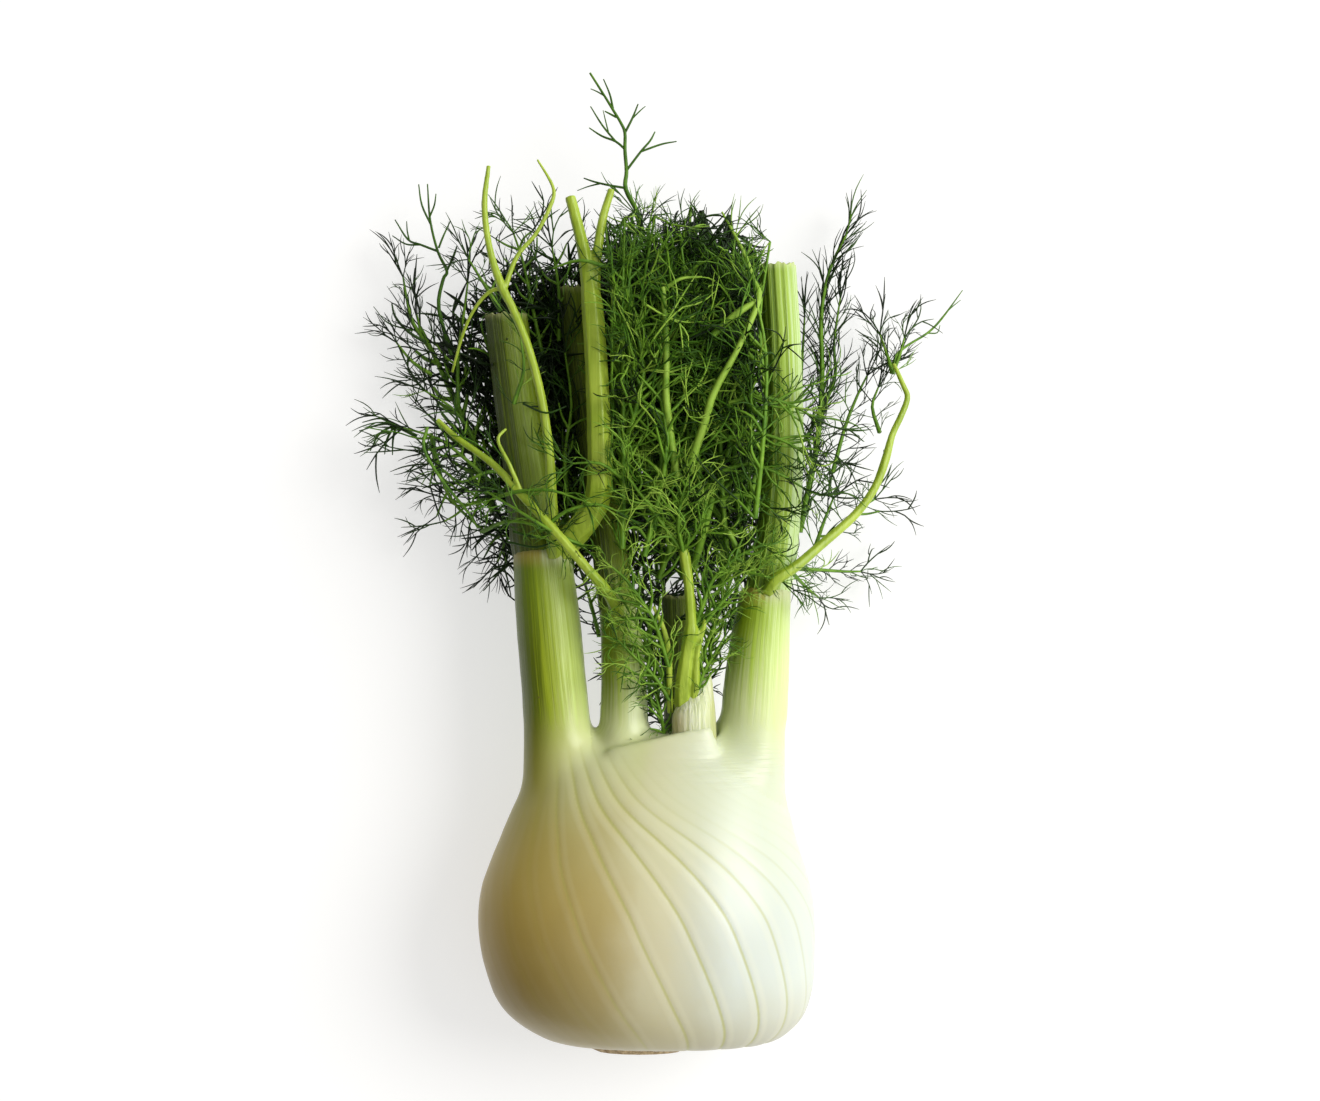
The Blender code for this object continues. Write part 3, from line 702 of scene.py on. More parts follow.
BRANCHES = {
    "left_forked_stem": ("left_forked_branch", 0.4, [
        [(-28.0, 104.0, 31.0, 4.4), (-23.4, 109.6, 35.0, 4.2), (-18.0, 115.8, 38.6, 4.0),
         (-15.0, 122.0, 40.8, 4.1), (-14.2, 130.0, 42.4, 3.9), (-14.4, 142.0, 43.0, 3.8),
         (-15.3, 162.0, 43.0, 3.5), (-16.4, 178.0, 42.6, 3.4), (-17.6, 187.0, 42.2, 2.6),
         (-19.4, 197.0, 41.6, 2.0), (-23.1, 211.6, 40.6, 1.7)],
        [(-16.2, 179.0, 42.8, 2.2), (-15.4, 191.0, 42.0, 1.7), (-13.6, 204.0, 41.0, 1.4),
         (-10.8, 213.8, 39.6, 1.2)],
    ]),
    "left_slender_stem": ("left_slender_branch", 0.3, [
        [(-28.2, 104.5, 37.2, 2.2), (-28.3, 110.0, 39.4, 2.0), (-28.5, 118.0, 41.2, 1.9),
         (-29.2, 135.0, 42.6, 1.5), (-31.5, 151.5, 43.2, 1.4), (-35.4, 166.5, 43.2, 1.3),
         (-40.0, 178.0, 42.4, 1.3), (-43.5, 185.0, 41.4, 1.4), (-47.0, 196.0, 40.4, 1.1),
         (-48.6, 209.0, 39.4, 1.0), (-47.4, 221.0, 38.4, 0.7)],
        [(-42.6, 183.6, 41.6, 0.9), (-39.0, 193.5, 40.4, 0.8), (-33.0, 201.0, 39.4, 0.7),
         (-28.6, 210.0, 38.4, 0.7), (-28.4, 215.0, 37.9, 0.6), (-33.0, 223.0, 37.4, 0.4)],
        [(-43.2, 184.4, 41.4, 0.8), (-47.5, 183.0, 39.4, 0.7), (-52.0, 178.0, 36.4, 0.6),
         (-55.5, 171.0, 32.4, 0.6), (-59.0, 160.0, 27.4, 0.5)],
    ]),
    "crossing_stem": ("crossing_branch", 0.3, [
        [(-9.2, 87.0, 36.0, 2.2), (-10.2, 91.0, 41.4, 2.0), (-13.0, 95.5, 44.8, 1.8),
         (-17.4, 100.5, 46.4, 1.6), (-26.4, 111.0, 46.5, 1.5), (-37.5, 123.0, 44.0, 1.4),
         (-46.0, 132.0, 40.5, 1.2), (-57.0, 140.0, 36.5, 1.0), (-63.0, 145.5, 33.5, 0.8)],
        [(-37.0, 122.6, 44.2, 0.8), (-41.0, 132.0, 45.0, 0.7), (-44.3, 139.0, 44.0, 0.6),
         (-42.0, 142.5, 43.0, 0.5)],
    ]),
    "right_side_stem": ("right_branch", 0.35, [
        [(35.6, 94.0, 37.4, 2.2), (38.0, 97.8, 40.0, 2.0), (44.0, 101.6, 39.2, 1.7),
         (51.6, 108.0, 35.4, 1.55), (62.0, 117.0, 31.4, 1.45), (68.0, 125.0, 29.4, 1.35),
         (71.4, 133.5, 28.0, 1.45), (73.5, 141.0, 27.0, 1.15), (76.3, 147.0, 26.0, 1.1),
         (78.3, 152.5, 25.0, 1.0), (77.0, 156.5, 24.4, 0.9), (74.2, 163.0, 23.6, 0.7)],
    ]),
    "heart_young_stem": ("heart_stem", 0.35, [
        [(10.9, 46.0, 34.8, 2.5), (10.8, 56.0, 37.6, 2.7), (10.6, 66.0, 41.2, 2.7),
         (11.6, 76.0, 43.3, 2.1), (12.7, 82.0, 44.4, 2.4), (12.8, 86.0, 44.9, 1.7),
         (12.0, 97.0, 46.1, 1.6), (10.9, 104.6, 46.6, 1.7), (10.5, 107.0, 46.8, 1.2)],
        [(13.6, 60.0, 40.6, 1.5), (14.2, 68.0, 42.4, 1.3), (14.6, 76.0, 43.4, 1.0),
         (17.0, 86.0, 44.4, 0.8)],
        [(6.6, 58.0, 38.0, 1.0), (6.4, 66.0, 41.0, 1.0), (6.2, 76.0, 44.0, 1.0),
         (4.6, 83.5, 46.0, 0.8), (1.6, 90.0, 47.0, 0.6)],
    ]),
}
for name, (node, fineness, lines) in BRANCHES.items():
    stem = branch(name, lines, fineness)
    stem.data.materials.append(stem_green)
    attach(stem, "root")
    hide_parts(node)

HEART_SHEATH = ((13.9, 40, 35.6, 6.9, 4.8), (13.8, 52, 38.4, 6.6, 4.8), (13.8, 58, 39.4, 6.3, 4.2),
                (15.2, 63, 39.8, 4.4, 2.7), (16.8, 67, 39.8, 2.4, 1.6), (17.8, 69.6, 39.6, 0.9, 0.7))
sheath = round_body("heart_sheath", smooth_path(HEART_SHEATH, 6), 48)
sheath.data.shade_smooth()
sheath_paint, surface, paint = new_material(
    "sheath_white", Subsurface_Weight=0.3, Subsurface_Scale=0.003, Subsurface_Radius=(1.0, 0.9, 0.4))
lines = paint.noise(1.0, 3.0, 0.6, paint.stretched((900.0, 40.0, 900.0))).rise(0.35, 0.65)
across, up = paint.axis("X"), paint.axis("Y")
colour = lines.mix((0.56, 0.62, 0.32), (0.76, 0.79, 0.58))
stained = (1 - across.rise(8.5, 13.5)) * (1 - up.rise(55, 63))
colour = (stained * 0.45).mix(colour, lines.mix((0.42, 0.25, 0.05), (0.60, 0.47, 0.16)))
colour = (across.rise(17, 20) * 0.6).mix(colour, (0.40, 0.42, 0.10))
feed(surface, paint, colour=colour, roughness=0.32 + lines * 0.1, height=lines, depth=0.00015)
sheath.data.materials.append(sheath_paint)
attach(sheath, "root")
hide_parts("inner_sheath")


# ---------------------------------------------------------------------------------------------
# The leaves: each one is a stem with side stems, and these carry sprays of soft green threads
# that fork again and again.
# ---------------------------------------------------------------------------------------------
THREAD_TAPER = (1.0, 0.95, 0.8, 0.3)
THREAD_RADIUS = 0.0185
BROAD_RADIUS = 0.032
SPRAY_KINDS = 14
SPRAY_NORMAL = Vector((0, 1, 0))


def aim(start, direction, roll=0.0):
    """A matrix that puts a model's foot at start and turns its length along direction."""
    turn = Vector(direction).to_track_quat("Z", "Y").to_matrix().to_4x4()
    return Matrix.Translation(start) @ turn @ Matrix.Rotation(roll, 4, "Z")


def join_copies(name, models):
    """One object from copies of meshes, each with its own matrix and its own shade."""
    deselect()
    for mesh, matrix, shade in models:
        copy = bpy.data.objects.new(name, mesh.copy())
        copy.data.transform(matrix)
        if shade is not None:
            store(copy.data, "shade", np.full(len(copy.data.vertices), shade))
        bpy.context.collection.objects.link(copy)
        copy.select_set(True)
        bpy.context.view_layer.objects.active = copy
    bpy.ops.object.join()
    made = bpy.context.object
    made.name = name
    return made


def fork(chance, lines, foot, heading, length, radius, levels, curl, angle):
    """Adds a curved thread to lines, and the threads that fork off it, level by level."""
    bend = Vector(chance.gauss(0, curl) for _ in range(3)) / 3
    places, headings = [foot], [heading]
    for _ in THREAD_TAPER[1:]:
        places.append(places[-1] + headings[-1] * length / 3)
        headings.append((headings[-1] + bend).normalized())
    lines.append([(*place, radius * size) for place, size in zip(places, THREAD_TAPER)])
    side = chance.choice((-1, 1))
    for number in range(1, 1 + levels):
        side = -side
        lean = angle * chance.uniform(0.6, 1.3)
        across = headings[number].cross(SPRAY_NORMAL).normalized() * side
        turned = (headings[number] * math.cos(lean) + across * math.sin(lean)
                  + SPRAY_NORMAL * chance.gauss(0, 0.15)).normalized()
        fork(chance, lines, places[number], turned, length * chance.uniform(0.62, 0.95) / number ** 0.4,
             radius * 0.9, levels - number, curl, angle)


def build_spray(number, levels, curl, angle, radius=THREAD_RADIUS):
    """A forked spray of threads in nearly one plane, a millimetre long."""
    chance = random.Random(100 + number)
    lines = []
    fork(chance, lines, Vector((0, 0, 0)), Vector((0, 0, 1)), 1.0, radius, levels, curl, angle)
    made = tube_mesh(f"spray_{number}", lines, sides=4, steps=2)
    model = made.data
    bpy.data.objects.remove(made)
    return model


full_sprays = [build_spray(number, 2, 0.8, 0.5) for number in range(SPRAY_KINDS)]
thin_sprays = [build_spray(number + 20, 2, 0.6, 0.42) for number in range(SPRAY_KINDS)]
curly_sprays = [build_spray(number + 40, 2, 1.5, 0.6) for number in range(SPRAY_KINDS)]
broad_sprays = [build_spray(number + 80, 2, 0.9, 0.55, BROAD_RADIUS) for number in range(SPRAY_KINDS)]
long_sprays = [build_spray(number + 60, 1, 0.6, 0.25) for number in range(SPRAY_KINDS)]


def path_points(points, spacing):
    """Points about spacing apart along a smooth path, with the direction there."""
    table = np.array(smooth_path(points, 12))
    steps = np.linalg.norm(np.diff(table, axis=0), axis=1)
    lengths = np.concatenate(([0], np.cumsum(steps)))
    count = max(2, int(lengths[-1] / spacing) + 1)
    marks = np.linspace(0, lengths[-1], count)

    def places_at(distances):
        return np.column_stack([np.interp(distances, lengths, table[:, k]) for k in range(3)])

    ahead = places_at(np.minimum(marks + 1, lengths[-1]))
    behind = places_at(np.maximum(marks - 1, 0))
    return [(Vector(place), Vector(after - before).normalized(), mark / lengths[-1])
            for place, after, before, mark in zip(places_at(marks), ahead, behind, marks)]


def side_of(direction, lift=0.0):
    """A unit vector across a direction, level unless lift turns it up."""
    across = direction.cross(Vector((0, 0, 1)))
    if across.length < 0.1:
        across = Vector((1, 0, 0))
    across.normalize()
    up = across.cross(direction).normalized()
    return across * math.cos(lift) + up * math.sin(lift)


LEAF_LIMITS = (Vector((-87, 0, 3)), Vector((97, 266, 62)))
# Threads that would dip into the table lie down on it, from this height.
SETTLE = 3.0
TABLE_GAP = 0.3
STEM_SHADE = 0.74
# Each millimetre above MIDDLE_HEIGHT makes a thread brighter by the step below, and chance varies it too:
# lower threads are darker, as painted shade under the leaves above them.
MIDDLE_HEIGHT = 30.0
DEPTH_SHADING = 0.02
TONE_SCATTER = 0.27
# How far the upper ends of the leaves vary, so that no mass of them ends in a straight line.
RAGGED = 14.0


def grow_sprig(chance, spine, reach, spray=17.0, every=6.0, depth=0.4, wild=0.25,
               kinds=full_sprays, shade=0.5, stem=0.7, spread=(0.5, 1.05), limits=LEAF_LIMITS):
    """All sprays and stem lines of one sprig: a spine, side stems off it, and sprays on these."""
    sprays = []
    lines = [[(*point, stem * (1 - 0.6 * k / (len(spine) - 1))) for k, point in enumerate(spine)]]

    def inside(place):
        low, high = limits
        high = high - Vector((0, chance.uniform(0, RAGGED), 0))
        return Vector(max(a, min(b, c)) for a, b, c in zip(low, high, place))

    def add_spray(place, direction, size):
        stray = Vector(chance.gauss(0, wild) for _ in range(3))
        size *= chance.uniform(0.75, 1.2)
        tip = inside(place + (direction + stray).normalized() * size)
        reached = tip - place
        if reached.length < size * 0.35:
            return
        tone = shade + DEPTH_SHADING * (place.z - MIDDLE_HEIGHT) + chance.gauss(0, TONE_SCATTER)
        tone = min(1.0, max(0.0, tone))
        matrix = aim(place * MM, reached, chance.uniform(0, math.tau))
        sprays.append((chance.choice(kinds), matrix @ Matrix.Scale(reached.length, 4), tone))

    spots = path_points(spine, every)
    for place, along, t in spots:
        envelope = math.sin(math.pi * min(1.0, 0.22 + 0.72 * t)) ** 0.8
        for side in (-1, 1):
            length = reach * envelope * chance.uniform(0.5, 1.3)
            lean = chance.uniform(*spread)
            lift = chance.uniform(-depth, depth) + (0 if side > 0 else math.pi)
            direction = (along * math.cos(lean) + side_of(along, lift) * math.sin(lean)).normalized()
            if length < spray * 0.5:
                add_spray(place, direction, max(length, spray * 0.7))
                continue
            bend = along * chance.uniform(-0.1, 0.9) + Vector(chance.gauss(0, wild) for _ in range(3))
            middle = inside(place + direction * length * 0.5)
            end = inside(middle + (direction + bend).normalized() * length * 0.5)
            lines.append([(*place, stem * 0.6), (*middle, stem * 0.5), (*end, stem * 0.35)])
            twig_spots = path_points([place, middle, end], spray * 0.36)
            for number, (spot, heading, u) in enumerate(twig_spots[1:], start=1):
                if number == len(twig_spots) - 1:
                    add_spray(spot, heading, spray * 0.95)
                    continue
                out = side_of(heading, chance.uniform(-depth, depth) * 1.3) * (-1) ** number
                add_spray(spot, (heading * 0.8 + out * 0.6).normalized(), spray * (1.05 - 0.25 * u))
    place, along, t = spots[-1]
    for lean in (-0.35, 0.0, 0.35):
        add_spray(place, (along + side_of(along) * lean).normalized(), spray)
    return sprays, lines


def thicket(node, count, seed, fan=0.5, grow=(0, 0, 0), **looks):
    """Sprigs that rise side by side and fan out through the box of one of the frame's solids."""
    chance = random.Random(seed)
    low, high = (Vector(corner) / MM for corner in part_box(node))
    low, high = low - Vector(grow), high + Vector(grow)
    middle = (low.x + high.x) / 2
    sprigs = []
    for number in range(count):
        x = low.x + (high.x - low.x) * (number + chance.uniform(0.2, 0.8)) / count
        z = chance.uniform(low.z, high.z)
        first, last = chance.uniform(0.0, 0.35), chance.uniform(0.7, 0.96)
        spine = []
        for part in (0.0, 0.35, 0.7, 1.0):
            t = first + (last - first) * part
            place = middle + (x - middle) * (fan + (1 - fan) * math.sqrt(t)) + chance.gauss(0, 2.5)
            spine.append((place, low.y + (high.y - low.y) * t, z + chance.gauss(0, 1.5)))
        sprigs.append({"spine": spine, **looks})
    return sprigs


leaf_paint, leaf_surface, paint = new_material("leaf_green", Specular_IOR_Level=0.22)
patch = paint.noise(55.0, 3.0)
mottle = paint.noise(260.0, 2.0)
tone = (paint.attribute("shade") + (patch - 0.5) * 0.4 + (mottle - 0.5) * 0.55).clamped()
colour = tone.node(
    "ShaderNodeValToRGB",
    {"stops": ((0.0, (0.006, 0.015, 0.003)), (0.3, (0.020, 0.058, 0.005)),
               (0.6, (0.062, 0.165, 0.010)), (0.85, (0.17, 0.335, 0.026)), (1.0, (0.31, 0.49, 0.06)))},
    {"Fac": tone})
feed(leaf_surface, paint, colour=colour, roughness=0.36 + patch * 0.2)


def leaf(name, node, sprigs, seed, threads=()):
    """One leaf piece out of its sprigs and single threads, in place of the frame's soft solid."""
    chance = random.Random(seed)
    sprays, lines = [], []
    for sprig in sprigs:
        more_sprays, more_lines = grow_sprig(chance, **sprig)
        sprays += more_sprays
        lines += more_lines
    stems = []
    if lines:
        stems.append((tube_mesh(name + "_stems", lines, sides=4, steps=3), STEM_SHADE))
    for tone, line in threads:
        stems.append((tube_mesh(name + "_thread", [line], sides=8, steps=4), tone))
    sprays += [(stem.data, Matrix.Identity(4), tone) for stem, tone in stems]
    made = join_copies(name, sprays)
    for stem, tone in stems:
        bpy.data.objects.remove(stem)
    places = vertex_places(made.data)
    low = places[:, 2] < SETTLE
    places[low, 2] = TABLE_GAP + (SETTLE - TABLE_GAP) * np.exp((places[low, 2] - SETTLE) / SETTLE)
    move_vertices(made.data, places)
    made.data.materials.clear()
    made.data.materials.append(leaf_paint)
    made.data.shade_smooth()
    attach(made, "root")
    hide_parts(node)
    return made


# The leaves in the middle stay behind the forked stem.
BEHIND_STEM = (Vector((-10.5, 80, 3)), Vector((30, 207, 56)))
BESIDE_STALK = (Vector((-10.5, 80, 3)), Vector((30.5, 203, 56)))
UNDER_STALKS = (Vector((-66, 80, 3)), Vector((-2, 196, 24)))
UNDER_MIDDLE = (Vector((-14, 70, 3)), Vector((36, 200, 24)))

LEAVES = {
    # name: (CAD node, its sprigs, its single threads and stems as (shade, [(x, y, z, radius)]))
    "top_leaf": ("top_frond", [
        dict(spine=[(-2, 200, 30), (-3, 205, 29), (-4, 208, 28)], reach=4, spray=11,
         every=4, depth=0.3, kinds=thin_sprays, shade=0.5),
    ], [
        (0.62, [(-2.0, 201, 29, 0.8), (-2.8, 207.4, 28, 0.75), (-6.7, 215.2, 27, 0.7),
                (-6.5, 220.8, 26, 0.6), (-7.0, 227.3, 25, 0.55), (-7.0, 232.5, 25, 0.5),
                (-8.3, 235.7, 24.6, 0.45), (-10.6, 239.6, 24, 0.42), (-13.2, 243.9, 23.4, 0.38),
                (-17.6, 251.0, 22.4, 0.34)]),
        (0.45, [(-6.7, 215.6, 27, 0.4), (-11.5, 216.4, 27, 0.35), (-16, 217.5, 26.4, 0.3),
                (-19.4, 218.7, 26, 0.2)]),
        (0.45, [(-14.4, 217.0, 26.8, 0.3), (-18.0, 216.2, 26, 0.2), (-21.4, 215.0, 25.4, 0.12)]),
        (0.5, [(-6.5, 221.0, 26, 0.4), (-2.2, 226.7, 26, 0.36), (0.6, 230.0, 25.6, 0.32),
               (2.1, 232.8, 25.4, 0.2)]),
        (0.5, [(-2.2, 226.7, 26, 0.34), (4.0, 229.0, 25.4, 0.3), (8.6, 229.9, 25, 0.18)]),
        (0.5, [(-7.0, 227.6, 25, 0.4), (-9.8, 229.9, 25, 0.36), (-14.0, 231.6, 24.6, 0.32),
               (-17.8, 234.1, 24.4, 0.18)]),
        (0.5, [(-9.8, 229.9, 25, 0.34), (-13.8, 234.8, 24.6, 0.3), (-17.4, 240.6, 24.2, 0.18)]),
        (0.5, [(-12.0, 232.8, 24.8, 0.24), (-12.8, 236.0, 24.8, 0.2), (-13.6, 239.4, 24.6, 0.12)]),
        (0.5, [(-7.0, 232.5, 25, 0.4), (-4.8, 236.8, 25, 0.34), (-3.0, 241.3, 24.6, 0.2)]),
        (0.5, [(-4.8, 236.8, 25, 0.26), (-2.4, 239.2, 24.8, 0.2), (-0.8, 240.6, 24.6, 0.12)]),
        (0.5, [(-9.6, 237.3, 24.4, 0.34), (-11.4, 238.3, 24, 0.3), (-13.1, 239.2, 23.8, 0.2)]),
        (0.5, [(-10.6, 240.0, 24, 0.34), (-11.6, 244.4, 23.6, 0.3), (-13.5, 249.0, 23.2, 0.18)]),
        (0.55, [(-13.2, 243.9, 23.4, 0.26), (-15.4, 245.2, 23.2, 0.22), (-17.4, 246.1, 23, 0.14)]),
    ]),
    "left_upper_leaf": ("left_upper_frond", [
        dict(spine=[(-47, 118, 16), (-54, 140, 13), (-60, 154, 11), (-66, 167, 10), (-70, 175, 10)],
         reach=12, spray=16, every=6, kinds=thin_sprays, shade=0.22, stem=1.3),
        dict(spine=[(-66, 167, 10), (-72, 176, 11), (-74, 184, 12), (-75, 190, 12)],
         reach=6, spray=13, every=6, kinds=thin_sprays, shade=0.3, spread=(0.3, 0.8)),
        dict(spine=[(-58, 150, 14), (-58, 165, 16), (-56, 180, 16), (-55, 188, 16)],
         reach=9, spray=14, every=6, kinds=thin_sprays, shade=0.3),
        dict(spine=[(-50, 130, 12), (-54, 142, 16), (-60, 150, 18), (-68, 155, 18)],
         reach=9, spray=14, every=5, kinds=thin_sprays, shade=0.25),
        dict(spine=[(-66, 160, 14), (-72, 164, 14), (-77, 170, 13)],
         reach=6, spray=13, every=6, kinds=thin_sprays, shade=0.28),
    ], [
        (0.5, [(-60, 166, 15, 0.7), (-63.9, 180.2, 15, 0.6), (-62.7, 189, 14, 0.55),
               (-61.5, 191.8, 14, 0.5), (-64.3, 197.8, 14, 0.42), (-66.7, 207.5, 13, 0.36),
               (-67.5, 218.5, 13, 0.2)]),
        (0.5, [(-66.2, 205.5, 13, 0.34), (-69.2, 212, 13, 0.3), (-70.2, 218.4, 13, 0.18)]),
        (0.5, [(-66.8, 208.5, 13, 0.3), (-65.4, 212, 13, 0.26), (-64.9, 215.5, 13, 0.16)]),
        (0.4, [(-64.3, 197.8, 14, 0.38), (-69.5, 199.8, 14, 0.36), (-73.4, 201.4, 14, 0.32),
               (-77.4, 207.5, 13.6, 0.18)]),
        (0.4, [(-73.0, 201.2, 14, 0.28), (-73.6, 204, 14, 0.22), (-73.8, 207, 13.8, 0.14)]),
        (0.4, [(-69.5, 199.8, 14, 0.3), (-74, 200, 13.8, 0.26), (-78.2, 202.6, 13.6, 0.16)]),
        (0.5, [(-64.0, 198.8, 14, 0.34), (-62.6, 202.4, 14, 0.3), (-60.5, 206.9, 14, 0.18)]),
        (0.3, [(-61.5, 191.8, 14, 0.34), (-59.6, 196, 14, 0.4), (-58.4, 199.4, 14, 0.22)]),
        (0.25, [(-68, 170, 12, 0.5), (-73.5, 173.4, 13, 0.44), (-77.4, 178, 13, 0.36),
                (-78.4, 182, 13, 0.24)]),
        (0.35, [(-72, 173.6, 13, 0.3), (-79.6, 176, 13, 0.22), (-84, 181, 13, 0.1)]),
    ]),
    "left_lower_leaf": ("left_lower_frond", [
        dict(spine=[(-42, 122, 20), (-54, 133, 24), (-63, 140, 25), (-74, 143.5, 24)],
         reach=9, spray=15, every=4.5, kinds=thin_sprays, shade=0.25),
        dict(spine=[(-66, 142, 20), (-64, 132, 18), (-60, 122, 16), (-52, 114, 14), (-44, 109, 14)],
         reach=7, spray=13, every=4.5, shade=0.2, kinds=thin_sprays),
        dict(spine=[(-38, 128, 16), (-50, 122, 18), (-58, 120, 16), (-63, 124, 14)],
         reach=9, spray=14, every=4.5, shade=0.2),
        dict(spine=[(-36, 120, 18), (-43, 110, 16), (-46, 103, 12)],
         reach=7, spray=13, every=4.5, kinds=thin_sprays, shade=0.25),
        dict(spine=[(-38, 130, 26), (-48, 130, 30), (-56, 127, 30), (-62, 131, 28)],
         reach=9, spray=14, every=6, kinds=thin_sprays, shade=0.42),
    ], [
        (0.3, [(-70, 141, 22, 0.6), (-77, 144.3, 22, 0.5), (-81, 144.6, 22, 0.34),
               (-87.6, 142.6, 21, 0.16)]),
        (0.3, [(-77, 144.3, 22, 0.4), (-81, 146.4, 22, 0.3), (-86.6, 145.2, 22, 0.14)]),
        (0.3, [(-77, 144.3, 22, 0.4), (-81.4, 141.8, 21, 0.34), (-84.4, 136.6, 20, 0.16)]),
        (0.3, [(-77, 144, 22, 0.4), (-79.2, 140, 21, 0.34), (-80.0, 135.6, 20, 0.16)]),
        (0.3, [(-76.6, 143.6, 22, 0.4), (-77.4, 139.6, 21, 0.32), (-77.6, 135.4, 20, 0.16)]),
        (0.3, [(-45.3, 112.6, 16, 0.4), (-48.6, 107, 14, 0.36), (-50.6, 103.6, 12, 0.2)]),
        (0.3, [(-42.6, 106.4, 14, 0.4), (-44.6, 101, 12, 0.34), (-50.6, 94, 10, 0.16)]),
        (0.3, [(-44.2, 101.6, 12, 0.3), (-43.0, 97, 11, 0.26), (-42.1, 92.3, 10, 0.16)]),
        (0.7, [(-66, 143.4, 33, 0.5), (-67, 137, 34, 0.5), (-62, 128, 34, 0.46),
               (-54, 118, 33, 0.4), (-51, 113, 32, 0.2)]),
    ]),
    # Low, near-black broad threads under the stalks: painted shade deep in the leaves.
    "under_left_leaf": ("under_left_frond", thicket(
        "under_left_frond", 15, 11, grow=(2, 0, 2), reach=14, spray=18, every=4.5, depth=0.7,
        shade=0.1, kinds=broad_sprays, limits=UNDER_STALKS), []),
    "left_inner_leaf": ("left_inner_frond", [
        dict(spine=[(-32, 165, 20), (-35, 180, 21), (-38, 194, 20), (-41, 203, 19)],
         reach=11, spray=14, every=5, kinds=thin_sprays, shade=0.35),
        dict(spine=[(-44, 178, 34), (-49, 186, 32), (-54, 194, 28)],
         reach=7, spray=13, every=6, kinds=thin_sprays, shade=0.4),
        dict(spine=[(-27, 170, 22), (-27, 185, 24), (-29, 198, 24)],
         reach=9, spray=14, every=5, kinds=thin_sprays, shade=0.35),
        dict(spine=[(-24, 120, 28), (-25, 135, 30), (-23, 150, 30), (-25, 166, 28)],
         reach=7, spray=14, every=4.5, shade=0.12),
        dict(spine=[(-46, 122, 40), (-37, 124, 46), (-28, 124, 48), (-19, 121, 49)],
         reach=5, spray=13, every=5, depth=0.2, kinds=long_sprays, shade=0.34),
        dict(spine=[(-32, 112, 44), (-24, 118, 48), (-15, 120, 49), (-9, 118, 48)],
         reach=5, spray=13, every=5, depth=0.2, kinds=long_sprays, shade=0.3),
        dict(spine=[(-20, 108, 44), (-28, 112, 47), (-38, 118, 46), (-48, 124, 40)],
         reach=6, spray=13, every=4, depth=0.2, kinds=full_sprays, shade=0.1),
        dict(spine=[(-8, 128, 46), (-14, 132, 50), (-22, 132, 49)],
         reach=5, spray=12, every=5, depth=0.2, kinds=full_sprays, shade=0.1),
        dict(spine=[(-12, 190, 46), (-20, 192, 47), (-28, 190, 44)],
         reach=4, spray=11, every=5, depth=0.2, kinds=long_sprays, shade=0.05),
        dict(spine=[(-50, 112, 30), (-42, 115, 40), (-34, 114, 44), (-26, 110, 44)],
         reach=5, spray=12, every=4, depth=0.2, kinds=curly_sprays, shade=0.26),
        dict(spine=[(-40, 150, 38), (-37, 160, 38), (-38, 170, 36)],
         reach=4, spray=12, every=5, depth=0.2, kinds=long_sprays, shade=0.3),
    ], [
        (0.25, [(-37, 150, 40, 0.34), (-30, 147, 46, 0.3), (-24, 149, 46, 0.2)]),
        (0.3, [(-40, 112, 40, 0.4), (-32, 110.4, 42, 0.36), (-24, 113, 44, 0.2)]),
        (0.3, [(-42, 109, 38, 0.36), (-33, 107.4, 41.5, 0.34), (-26, 110, 42, 0.18)]),
    ]),
    # Low, near-black broad threads under the middle: painted shade deep in the leaves.
    "under_middle_leaf": ("under_middle_frond", thicket(
        "under_middle_frond", 14, 12, reach=14, spray=18, every=4.5, depth=0.7, shade=0.14,
        kinds=broad_sprays, limits=UNDER_MIDDLE), []),
    "middle_leaf": ("middle_frond", thicket(
        "middle_frond", 15, 13, grow=(4, 0, 4), reach=13, spray=18, every=4.6, depth=1.1, wild=0.5,
        shade=0.26, stem=0.9, limits=BEHIND_STEM) + [
            # Two near-black layers of broad threads low in the middle: painted shade.
            dict(spine=[(-6, 100, 24), (-4, 118, 26), (-5, 136, 27)], reach=6, spray=14,
             every=3, kinds=broad_sprays, shade=0.0),
            dict(spine=[(22, 96, 26), (24, 112, 28), (25, 128, 28)], reach=6, spray=14,
             every=3, kinds=broad_sprays, shade=0.0),
            dict(spine=[(2, 188, 34), (0, 198, 34), (1, 207, 33)], reach=6, spray=11,
             every=4, kinds=long_sprays, shade=0.42),
            dict(spine=[(10, 186, 34), (12, 196, 34), (11, 204, 33)], reach=7, spray=12,
             every=4, kinds=long_sprays, shade=0.42),
            dict(spine=[(22, 182, 34), (25, 192, 34), (26, 200, 33)], reach=6, spray=11,
             every=4, kinds=long_sprays, shade=0.36),
        ], [
            (0.95, [(8.6, 128, 44, 1.2), (5.5, 150, 48, 1.1), (5.5, 166, 49, 0.95),
                    (4.5, 184, 48, 0.8)]),
            (0.95, [(4.6, 183, 48, 0.7), (9.5, 186.3, 49, 0.5), (16, 187, 48, 0.3)]),
            (0.8, [(13.4, 101, 36, 1.2), (16, 110, 40, 1.2), (19, 122, 42, 1.0)]),
        ]),
    "middle_right_leaf": ("middle_right_frond", thicket(
        "middle_right_frond", 11, 14, grow=(4, 0, 4), reach=12, spray=18, every=4.6, depth=1.1,
        wild=0.5, shade=0.24, stem=0.9, limits=BESIDE_STALK), [
            (0.95, [(12, 130, 46, 1.3), (17, 145, 49, 1.2), (19.5, 153, 50, 1.1),
                    (26.4, 165.7, 50, 0.9), (32.7, 180.4, 47, 0.9), (31, 187, 45, 0.7),
                    (28.4, 194.7, 43, 0.6), (22, 207, 40, 0.3)]),
